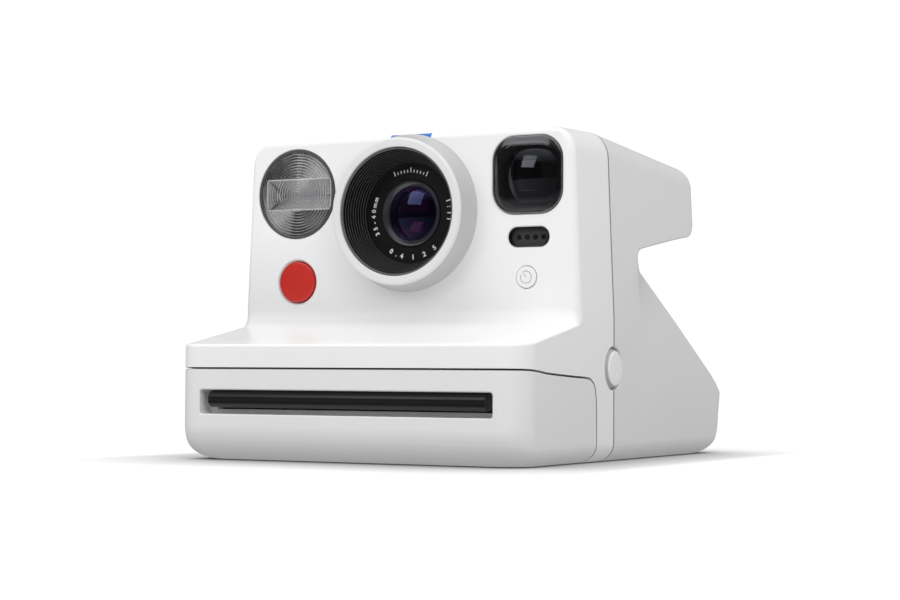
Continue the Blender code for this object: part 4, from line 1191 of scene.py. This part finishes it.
profile = [
    (7.95, -35.3), (7.95, -36.35), (8.0, -36.5), (8.2, -36.68), (8.9, -37.22), (9.15, -37.36),
    (9.4, -37.4), (9.6, -37.3), (9.72, -37.1), (9.75, -35.0), (9.75, -32.0), (8.2, -32.0),
    (8.2, -34.2), (7.95, -34.5),
]
bezel = lathe("lens_bezel_turned", profile, LENS, BEZEL, segs=144, angle=30)
place(bezel, "body", "lens_bezel", slot="gloss_black_plastic")

profile = dome(7.93, -37.15, -35.5) + [(7.93, -34.9), (0, -34.9)]
glass = lathe("front_lens_dome", profile, LENS, LENS_GLASS, segs=120, angle=40)
place(glass, "body", "front_lens", slot="coated_glass", weighted=False)
dish = dome(8.1, -31.6, -34.1)
profile = dish + [(radius, y + 0.35) for radius, y in dish[::-1]]
glass = lathe("inner_lens_dish", profile, LENS, INNER_GLASS, angle=40)
place(glass, "body", slot="coated_glass", weighted=False)

# ---- marks on the flat ring: numerals and ticks ----
MARK_R = 12.75


def glyph(char, size):
    curve = bpy.data.curves.new("glyph", "FONT")
    curve.body = char
    curve.size = size * MM
    curve.align_x = "CENTER"
    curve.extrude = 0.02 * MM
    curve.resolution_u = 3
    curve.offset = 0.065 * MM
    obj = add_object("glyph", curve)
    mesh = evaluated_mesh(obj)
    bpy.data.objects.remove(obj, do_unlink=True)
    bpy.data.curves.remove(curve)
    return mesh


def ring_text(text, middle, pitch, outward=True, size=2.0):
    """Characters round the lens axis, pitch degrees apart about the angle middle.

    Their tops point away from the axis if outward, else towards it.
    """
    out = []
    sign = 1 if outward else -1
    for i, char in enumerate(text):
        if char == " ":
            continue
        angle = math.radians(middle - sign * (i - (len(text) - 1) / 2) * pitch)
        radial = Vector((math.cos(angle), 0, math.sin(angle)))
        up = radial * sign
        right = Vector((up.z, 0, -up.x))
        mesh = glyph(char, size)
        base = Vector((LENS_X, -36.95, LENS_Z)) * MM + radial * MARK_R * MM
        base -= up * size * 0.34 * MM
        for vert in mesh.vertices:
            x, y, z = vert.co
            vert.co = base + right * x + up * y + Vector((0, -1, 0)) * z
        mesh.materials.append(MARK)
        out.append(add_object("glyph", mesh))
    return out


marks = ring_text("35-40mm", middle=183, pitch=7.9, size=1.85)
marks += ring_text("1:11", middle=3.5, pitch=8.2)
marks += ring_text("0.4 1 2 5", middle=-87, pitch=8.6, outward=False)
for k in range(-5, 6):
    angle = math.radians(88 + k * 5.0)
    radial = Vector((math.cos(angle), 0, math.sin(angle)))
    length = 1.5 if k % 5 == 0 else 0.85
    centre = Vector((0, -36.92, LENS_Z))
    marks.append(bar(centre + radial * 12.1, centre + radial * (12.1 + length),
                     width=0.3, height=0.04, normal=(0, -1, 0), mat=MARK))
place(join("lens_ring_marks", marks), "body", slot="white_plastic", weighted=False)

# ================= flash =================
profile = [(0, -39.5)]
r = 0.55
while r < 12.3:
    y = -39.48 + 0.25 * (r / 12.5) ** 2
    profile += [(r, y + 0.16), (r + 0.10, y - 0.02)]
    r += 0.78
profile += [(12.75, -39.2), (12.95, -39.0), (12.95, -38.2), (0, -38.2)]
flash_lens = lathe("flash_lens_fresnel", profile, FLASH, FRESNEL_PAINTED_GLINTS, segs=144, angle=12)
place(flash_lens, "body", "flash_lens", slot="clear_plastic", weighted=False)

profile = [(12.95, -37.6), (12.95, -38.9), (12.55, -39.15), (12.6, -39.3),
           *arc((13.1, -39.18), 0.28, 270, 360, 5), (FLASH_R, -37.6)]
rim = lathe("flash_rim_ring", profile, FLASH, FLASH_RIM, segs=144)
place(rim, "body", slot="clear_plastic")

# Silvered plate with turned rings and the trough's opening
profile = [(0, -37.45)]
r = 0.5
while r < 12.6:
    profile += [(r, -37.6), (r + 0.36, -37.9), (r + 0.5, -37.9)]
    r += FLASH_PITCH
profile += [(12.85, -37.6), (12.85, -37.2), (0, -37.2)]
plate = lathe("flash_plate", profile, FLASH, TURNED_PAINTED_GLINT, segs=144, angle=15)
cut(plate, box((FLASH_X - 11.4, -45, FLASH_Z - 4.5), (FLASH_X + 11.2, -30, FLASH_Z + 4.5)))
shade(plate, 15)
place(plate, "body", slot="silvered_reflector", weighted=False)

# Parabolic trough in side view (y, z), closed at its ends and edged with white
TROUGH_H, TROUGH_Y = 4.35, -30.9
steps = [-1 + 2 * i / 24 for i in range(25)]
inner = [(TROUGH_Y - 6.6 * v * v, FLASH_Z + TROUGH_H * v) for v in steps]
outer = [
    (y + (0.7 if abs(z - FLASH_Z) < 4.2 else 0.0), z + 0.45 * (z - FLASH_Z) / TROUGH_H)
    for y, z in inner
]
parts = [prism("trough", inner + outer[::-1], "x", FLASH_X - 11.0, FLASH_X + 11.0, TROUGH_PAINTED_REFLECTION, 40)]
end_cap = [(TROUGH_Y, FLASH_Z - 0.5), (TROUGH_Y, FLASH_Z + 0.5),
           (-38.0, FLASH_Z + 4.55), (-38.0, FLASH_Z - 4.55)]
for s in (-1, 1):
    parts.append(prism("end", end_cap, "x", FLASH_X + s * 10.95, FLASH_X + s * 11.15, TROUGH_PAINTED_REFLECTION))
for s in (-1, 1):
    parts.append(box((FLASH_X - 11.3, -38.12, FLASH_Z + s * 4.42),
                     (FLASH_X + 11.1, -37.6, FLASH_Z + s * 4.78), WHITE_EDGE))
for x0, x1 in ((-11.45, -11.15), (11.0, 11.3)):
    parts.append(box((FLASH_X + x0, -38.12, FLASH_Z - 4.5),
                     (FLASH_X + x1, -37.6, FLASH_Z + 4.5), WHITE_EDGE))
trough = join("flash_reflector_trough", parts)
place(trough, "body", "flash_reflector", slot="silvered_reflector")


def flash_tube_part(profile, mat):
    points = [(radius, FLASH_X + along) for radius, along in profile]
    return lathe("part", points, (-34.0, FLASH_Z), mat, axis="x", segs=48)


parts = [flash_tube_part(mirrored([(0, -10.4), (0.5, -10.4), (1.1, -10.1), (1.3, -9.6)]), CLEAR)]
for x0, x1 in ((-10.7, -8.6), (8.6, 10.7)):
    parts.append(flash_tube_part([(0, x0), (1.42, x0), (1.42, x1), (0, x1)], STEEL))
place(join("flash_tube_capped", parts), "body", "flash_tube", slot="clear_plastic")


# ================= viewfinder: stations are (inset, y) =================
def finder_stack(name, stations, mat=None, **options):
    return rect_stack(name, VF_BOX, VF_R, 12, stations, mat, **options)


window = finder_stack("viewfinder_window_clear", [
    (0.08, -37.0), (0.08, -39.35), (0.16, -39.75), (0.42, -40.05), (0.9, -40.2), (3.0, -40.42),
    (6.0, -40.52), (6.0, -40.0), (3.0, -39.9), (1.25, -39.65), (0.75, -39.3), (0.6, -37.0),
], CLEAR, angle=30)
place(window, "body", "viewfinder_window", slot="clear_plastic", weighted=False)
surround = finder_stack("viewfinder_surround", [
    (0.62, -36.7), (0.62, -39.2), (0.8, -39.4), (1.15, -39.42), (1.3, -39.25), (1.35, -38.7),
    (1.75, -38.62), (1.95, -38.75), (2.05, -38.6), (2.1, -37.6), (2.35, -37.5), (2.5, -36.9),
    (2.5, -36.7),
], GLOSS, closed=True, angle=24)
place(surround, "body", slot="black_plastic")
vf_centre = ((VF_BOX[0] + VF_BOX[1]) / 2, (VF_BOX[2] + VF_BOX[3]) / 2)
profile = dome(11.6, -39.3, -35.1, 22) + [(11.6, -34.6), (0, -34.6)]
bulge = lathe("viewfinder_lens_bulge", profile, vf_centre, segs=144)
combine(bulge, finder_stack("trim", [(2.56, -45.0), (2.56, -36.5)]), "INTERSECT")
bulge.data.materials.clear()
bulge.data.materials.append(FINDER_GLASS)
shade(bulge, 40)
place(bulge, "body", "viewfinder_front_lens", slot="coated_glass", weighted=False)
back_frame = finder_stack("viewfinder_back_frame", [
    (2.55, -36.6), (2.55, -36.2), (8.0, -30.5), (8.0, -30.0), (2.2, -35.9), (2.2, -36.6),
], BLACK, closed=True)
place(back_frame, "body", slot="black_plastic")

# ================= sensor window: sleeve, plate with four holes, a bead in each =================
sleeve = rect_stack("sleeve", PILL_BOX, PILL_R, 12, [
    (0.1, -36.7), (0.1, -39.1), (0.2, -39.2), (0.42, -39.15), (0.5, -39.0), (0.55, -37.4),
    (0.55, -36.7),
], SENSOR, closed=True, angle=30)
plate = rect_stack("plate", PILL_BOX, PILL_R, 12, [(0.5, -37.75), (0.5, -36.75)], SENSOR_PLATE)
eye_z = (PILL_BOX[2] + PILL_BOX[3]) / 2
eye_x = [PILL_BOX[0] + 2.6 + i * SENSOR_PITCH for i in range(4)]
hole = [(0, -39), (0.95, -39), (0.95, -37.75), (0.78, -37.6), (0.74, -37.0), (0, -37.0)]
for x in eye_x:
    cut(plate, lathe("hole", hole, (x, eye_z), segs=40))
bead = dome(0.55, -37.35, -37.15, 5) + [(0.55, -37.02), (0, -37.02)]
beads = [lathe("bead", bead, (x + 0.05, eye_z), SENSOR, segs=24) for x in eye_x]
sensor = join("sensor_window_set", [sleeve, plate] + beads)
place(sensor, "body", "sensor_window", slot="gloss_black_plastic")


# ================= buttons on the face =================
def button_stem(radius):
    return [(radius, -36.6), (radius * 0.45, -36.6), (radius * 0.45, -34.8), (0, -34.8)]


profile = [
    (0, -40.02), (SHUTTER_R * 0.35, -40.0), (SHUTTER_R * 0.65, -39.93),
    (SHUTTER_R * 0.85, -39.82), *arc((SHUTTER_R - 0.5, -39.28), 0.5, 270, 360, 8),
    *button_stem(SHUTTER_R),
]
shutter = lathe("shutter_button_cap", profile, SHUTTER, RED, segs=120)
place(shutter, "shutter_button", "shutter_button", slot="red_plastic")

profile = [(0, -39.72), (TIMER_R * 0.6, -39.7), *arc((TIMER_R - 0.3, -39.36), 0.3, 270, 360, 6),
           *button_stem(TIMER_R)]
parts = [lathe("cap", profile, TIMER, BUTTON_WHITE)]
# clock print: an open circle, a hand and a tick at its top
clock = arc_band(TIMER, 1.82, 1.62, 128, -205, 28)
parts.append(prism("clock", clock, "y", -39.73, -39.65, ICON_GREY))
for start, end, width in (((0, 0), (-0.95, 1.2), 0.2), ((0, 1.35), (0, 1.95), 0.18)):
    ends = [(TIMER[0] + x, -39.7, TIMER[1] + z) for x, z in (start, end)]
    parts.append(bar(*ends, width=width, height=0.03, normal=(0, -1, 0), mat=ICON_GREY))
timer = join("self_timer_button_cap", parts)
place(timer, "self_timer_button", "self_timer_button", slot="white_plastic")

# ================= door latch =================
LATCH_TOP = 56.7
wall_r = LATCH_R - 0.12
profile = [
    (0, LATCH_TOP), (3.6, LATCH_TOP), *arc((LATCH_R - 1.75, 55.72), 0.95, 90, 0, 8),
    (LATCH_R - 0.5, 55.35), (LATCH_R - 0.3, 55.0), (wall_r, 54.6), (wall_r, 53.2),
    (2.0, 53.2), (2.0, 51.9), (0, 51.9),
]
cap = lathe("cap", profile, LATCH, WHITE, axis="x", segs=120, angle=28)
# Painted shade on the button's side wall, in its gap
paint_shade(cap, WALL_SHADE_GREY, lambda point: point.x < 56.5)
parts = [cap]
# raised lines, from (y, z) to (y, z) about the centre: three strokes over a chevron
strokes = [((-1.2, 1.7 - k * 0.85), (1.2, 1.7 - k * 0.85)) for k in range(3)]
for stroke in strokes + [((-1.3, -1.0), (0, -2.4)), ((1.3, -1.0), (0, -2.4))]:
    ends = [(LATCH_TOP, LATCH[0] + y, LATCH[1] + z) for y, z in stroke]
    parts.append(bar(*ends, width=0.3, height=0.09, normal=(1, 0, 0), mat=WHITE))
place(join("latch_button_disc", parts), "latch_button", "latch_button", slot="white_plastic")

# ================= back =================
eyepiece = rect_stack("eyepiece_surround", rect_about(EYE, 8.05, 6.05), 2.95, 8, [
    (0, 47.5), (0, 54.2), (0.15, 54.6), (0.6, 54.85), (1.3, 54.9)], BLACK, angle=30)
hole = [(0, 45), (5.2, 45), (5.2, 50.6), (6.0, 53.9), (6.35, 55.5), (0, 55.5)]
cut(eyepiece, lathe("hole", hole, EYE))
place(eyepiece, "body", "eyepiece_bezel", slot="black_plastic")
profile = [(0, 48.2), (5.05, 48.2), (5.05, 49.2)]
profile += [(5.05 * u, 49.2 + 1.1 * v) for u, v in arc((0, 0), 1, 0, 90, 10)[1:]]
eye_lens = lathe("eyepiece_lens_dome", profile, EYE, FINDER_GLASS, segs=72, angle=50)
place(eye_lens, "body", "eyepiece_lens", slot="coated_glass", weighted=False)

profile = [(0, 54.55), (2.4, 54.52), *arc((4.0, 54.0), 0.5, 90, 0, 6), (4.5, 51.2), (0, 51.2)]
bolt = [(0.5, 82.0), (-1.1, 79.7), (-0.1, 79.7), (-0.5, 78.0), (1.1, 80.4), (0.1, 80.4)]
flash_button = join("flash_button_cap", [
    lathe("cap", profile, FLASH_BUTTON, BUTTON_WHITE),
    prism("bolt", bolt, "y", 54.5, 54.58, ICON_GREY),
])
place(flash_button, "flash_button", "flash_button", slot="white_plastic")

# Power button on the slope, with a broken circle and a stroke printed on it
stations = ((4.5, -2.6), (4.5, 0.1), (4.38, 0.35), (4.05, 0.5), (2.0, 0.53))     # radius, height
parts = [slope_stack("cap", [(circle(POWER, r), height) for r, height in stations], BUTTON_WHITE)]
stroke = [(POWER[0] + x, POWER[1] + up)
          for x, up in ((-0.15, 0.5), (0.15, 0.5), (0.15, 2.3), (-0.15, 2.3))]
for points in (arc_band(POWER, 1.85, 1.55, 120, 420, 30), stroke):
    parts.append(slope_stack("print", [(points, height) for height in (0.45, 0.57)], ICON_GREY))
place(join("power_button_cap", parts), "power_button", "power_button", slot="white_plastic")

# Counter window showing a seven-segment figure; segments are (x, up) to (x, up)
counter_box = rect_about(COUNTER, 6.0, 4.0)
parts = [slope_stack("window", [
    (inset_rect(counter_box, inset, 1.4, 6), height)
    for inset, height in ((0, -1.8), (0, -0.15), (0.2, 0.03), (0.6, 0.06))
], GLOSS)]
for segment in (
    ((-1, 2.2), (1, 2.2)), ((-1, 0), (1, 0)), ((-1, -2.2), (1, -2.2)),
    ((-1.25, 0.2), (-1.25, 2.0)), ((1.25, 0.2), (1.25, 2.0)),
    ((-1.25, -2.0), (-1.25, -0.2)), ((1.25, -2.0), (1.25, -0.2)),
):
    ends = [on_slope(COUNTER[0] + x, COUNTER[1] + up, 0.05) for x, up in segment]
    parts.append(bar(*ends, width=0.32, height=0.03, normal=SLOPE_NORMAL, mat=SEGMENTS))
place(join("counter_window_lit", parts), "body", "counter_window", slot="gloss_black_plastic")

# Charging port on the -X side: shell with a tongue and nine contacts
parts = [rect_stack("shell", (-4.3, 4.3, 28.2, 31.4), 1.5, 8, [
    (0, -49.0), (0, -55.2), (0.12, -55.4), (0.35, -55.4), (0.45, -55.2), (0.45, -50.2),
    (1.4, -50.1), (1.4, -49.0),
], STEEL, axis="x", closed=True, angle=30)]
parts.append(box((-54.4, -2.6, 29.45), (-50.0, 2.6, 30.15), BLACK))
for k in range(9):
    y = -2.2 + 0.55 * k
    parts.append(box((-54.2, y - 0.13, 30.14), (-51.0, y + 0.13, 30.2), BRASS))
place(join("charging_port_shell", parts), "body", "charging_port", slot="steel")

for s, side in ((-1, "left"), (1, "right")):
    profile = [(0, 56.0), (1.0, 56.0), (1.1, 56.1), (1.1, 62.2), (1.0, 62.3), (0, 62.3)]
    name = "strap_bar_" + side
    strap_bar = lathe(name + "_turned", profile, (s * 46.0, 12.4), STEEL, axis="z", segs=48)
    place(strap_bar, "body", name, slot="steel")

for i, (x, y) in enumerate(SCREWS, start=1):
    profile = [(0, 0.3), (1.2, 0.3), (2.2, 0.36), (2.6, 0.5), (2.7, 0.7), (2.7, 1.0), (1.25, 1.0),
               (1.25, 4.4), (0, 4.4)]
    screw = lathe(f"base_screw_{i}_turned", profile, (x, y), STEEL, axis="z", segs=64)
    cut(screw, *[box((x - dx, y - dy, -1), (x + dx, y + dy, 0.75))
                 for dx, dy in ((0.3, 1.55), (1.55, 0.3))])
    place(screw, "body", f"base_screw_{i}", slot="steel")


# ================= stage =================
def floor_material():
    """Glowing floor with painted shade near the body: a contact shadow for the camera, a dimmer
    glow for everything else.
    """
    shader = material("floor")
    position = shader.add("NewGeometry")
    flat = shader.vector("MULTIPLY", position, (1, 1, 0))
    distance = shader.vector("LENGTH", flat).outputs["Value"]
    light = shader.add("Emission", {
        "Color": shader.blend(shader.noise(scale=6), (0.99, 0.99, 0.99), (1.0, 1.0, 1.0)),
        "Strength": shader.ramp(distance, low=0.5, high=1.02, start=0.09, end=0.34),
    })
    openness = shader.add("AmbientOcclusion", {"Distance": 0.04}, samples=8).outputs["AO"]
    contact = shader.math("POWER", openness, 1.35)
    across = shader.math("ABSOLUTE", shader.add("SeparateXYZ", {"Vector": position}))
    clear = shader.ramp(across, low=0.0, high=1.0, start=0.058, end=0.080)
    shadow = shader.math("MAXIMUM", contact, clear)
    seen = shader.add("Emission", {
        "Color": shader.blend(shadow, (0.02, 0.02, 0.022), (1.02, 1.02, 1.02)),
    })
    rays = shader.add("LightPath").outputs
    surface = shader.mix(rays["Is Camera Ray"], light, seen)
    mirrored_floor = shader.add("Emission", {"Strength": 0.16})
    return shader.finish(shader.mix(rays["Is Glossy Ray"], surface, mirrored_floor))


corners = [(-3000, -3000), (3000, -3000), (3000, 3000), (-3000, 3000)]
floor = stack("floor", [[(x, y, z) for x, y in corners] for z in (-0.02, -5)], floor_material())


def studio_world():
    """White surroundings with their own strength for light, reflections and the camera."""
    world = bpy.data.worlds.new("studio")
    bpy.context.scene.world = world
    shader = Shader(world, "OutputWorld")
    rays = shader.add("LightPath").outputs
    direction = shader.add("TexCoord").outputs["Generated"]
    height = shader.add("SeparateXYZ", {"Vector": direction}).outputs["Z"]

    def background(strength):
        return shader.add("Background", {"Color": (1, 1, 1), "Strength": strength})

    ambient = background(shader.ramp(height, low=0.06, high=1.30, start=0.2, end=0.6))
    glossy = background(shader.ramp(height, low=0.03, high=0.75, start=0.45, end=0.8))
    seen = background(1.05)
    unseen = shader.mix(rays["Is Glossy Ray"], ambient, glossy)
    shader.finish(shader.mix(rays["Is Camera Ray"], unseen, seen))


studio_world()


def softbox(name, place_at, target, width, height, power, in_mirrors=False):
    light = bpy.data.lights.new(name, "AREA")
    light.shape = "RECTANGLE"
    light.size = width
    light.size_y = height
    light.energy = power
    obj = add_object(name, light)
    obj.location = Vector(place_at)
    aim = Vector(target) - Vector(place_at)
    obj.rotation_euler = aim.to_track_quat("-Z", "Y").to_euler()
    obj.visible_glossy = in_mirrors


AIM = (0, -0.04, 0.05)
softbox("key", (-0.85, -1.10, 0.60), AIM, width=0.7, height=0.6, power=2.85)
softbox("front_top", (0.05, -0.85, 1.20), AIM, width=0.9, height=0.7, power=0.8)
softbox("side", (1.30, -0.85, 0.60), (0, 0, 0.05), width=0.7, height=0.7, power=4.8)
softbox("frontal", (0.35, -1.55, 0.30), AIM, width=0.8, height=0.5, power=0.9)
softbox("window", (-0.42, -0.90, 0.60), (0.02, -0.04, 0.07), width=0.50, height=0.40, power=0.7,
        in_mirrors=True)

# ================= camera =================
CAMERA_AT = Vector((291.48, -551.14, 25.05)) * MM
YAW, PITCH, ROLL = math.radians(28.3765), math.radians(2.0855), math.radians(0.341)
camera_data = bpy.data.cameras.new("camera")
camera = add_object("camera", camera_data)
ahead = Vector((
    -math.sin(YAW) * math.cos(PITCH),
    math.cos(YAW) * math.cos(PITCH),
    math.sin(PITCH),
))
level = ahead.cross(Vector((0, 0, 1))).normalized()
upright = level.cross(ahead)
right = level * math.cos(ROLL) + upright * math.sin(ROLL)
top = level * -math.sin(ROLL) + upright * math.cos(ROLL)
rows = [(right[i], top[i], -ahead[i], CAMERA_AT[i]) for i in range(3)]
camera.matrix_world = Matrix((*rows, (0, 0, 0, 1)))
camera_data.sensor_width = 36.0
camera_data.lens = 80.872
camera_data.clip_start = 0.01
camera_data.clip_end = 100
bpy.context.scene.camera = camera
bpy.context.scene.view_settings.view_transform = "Standard"
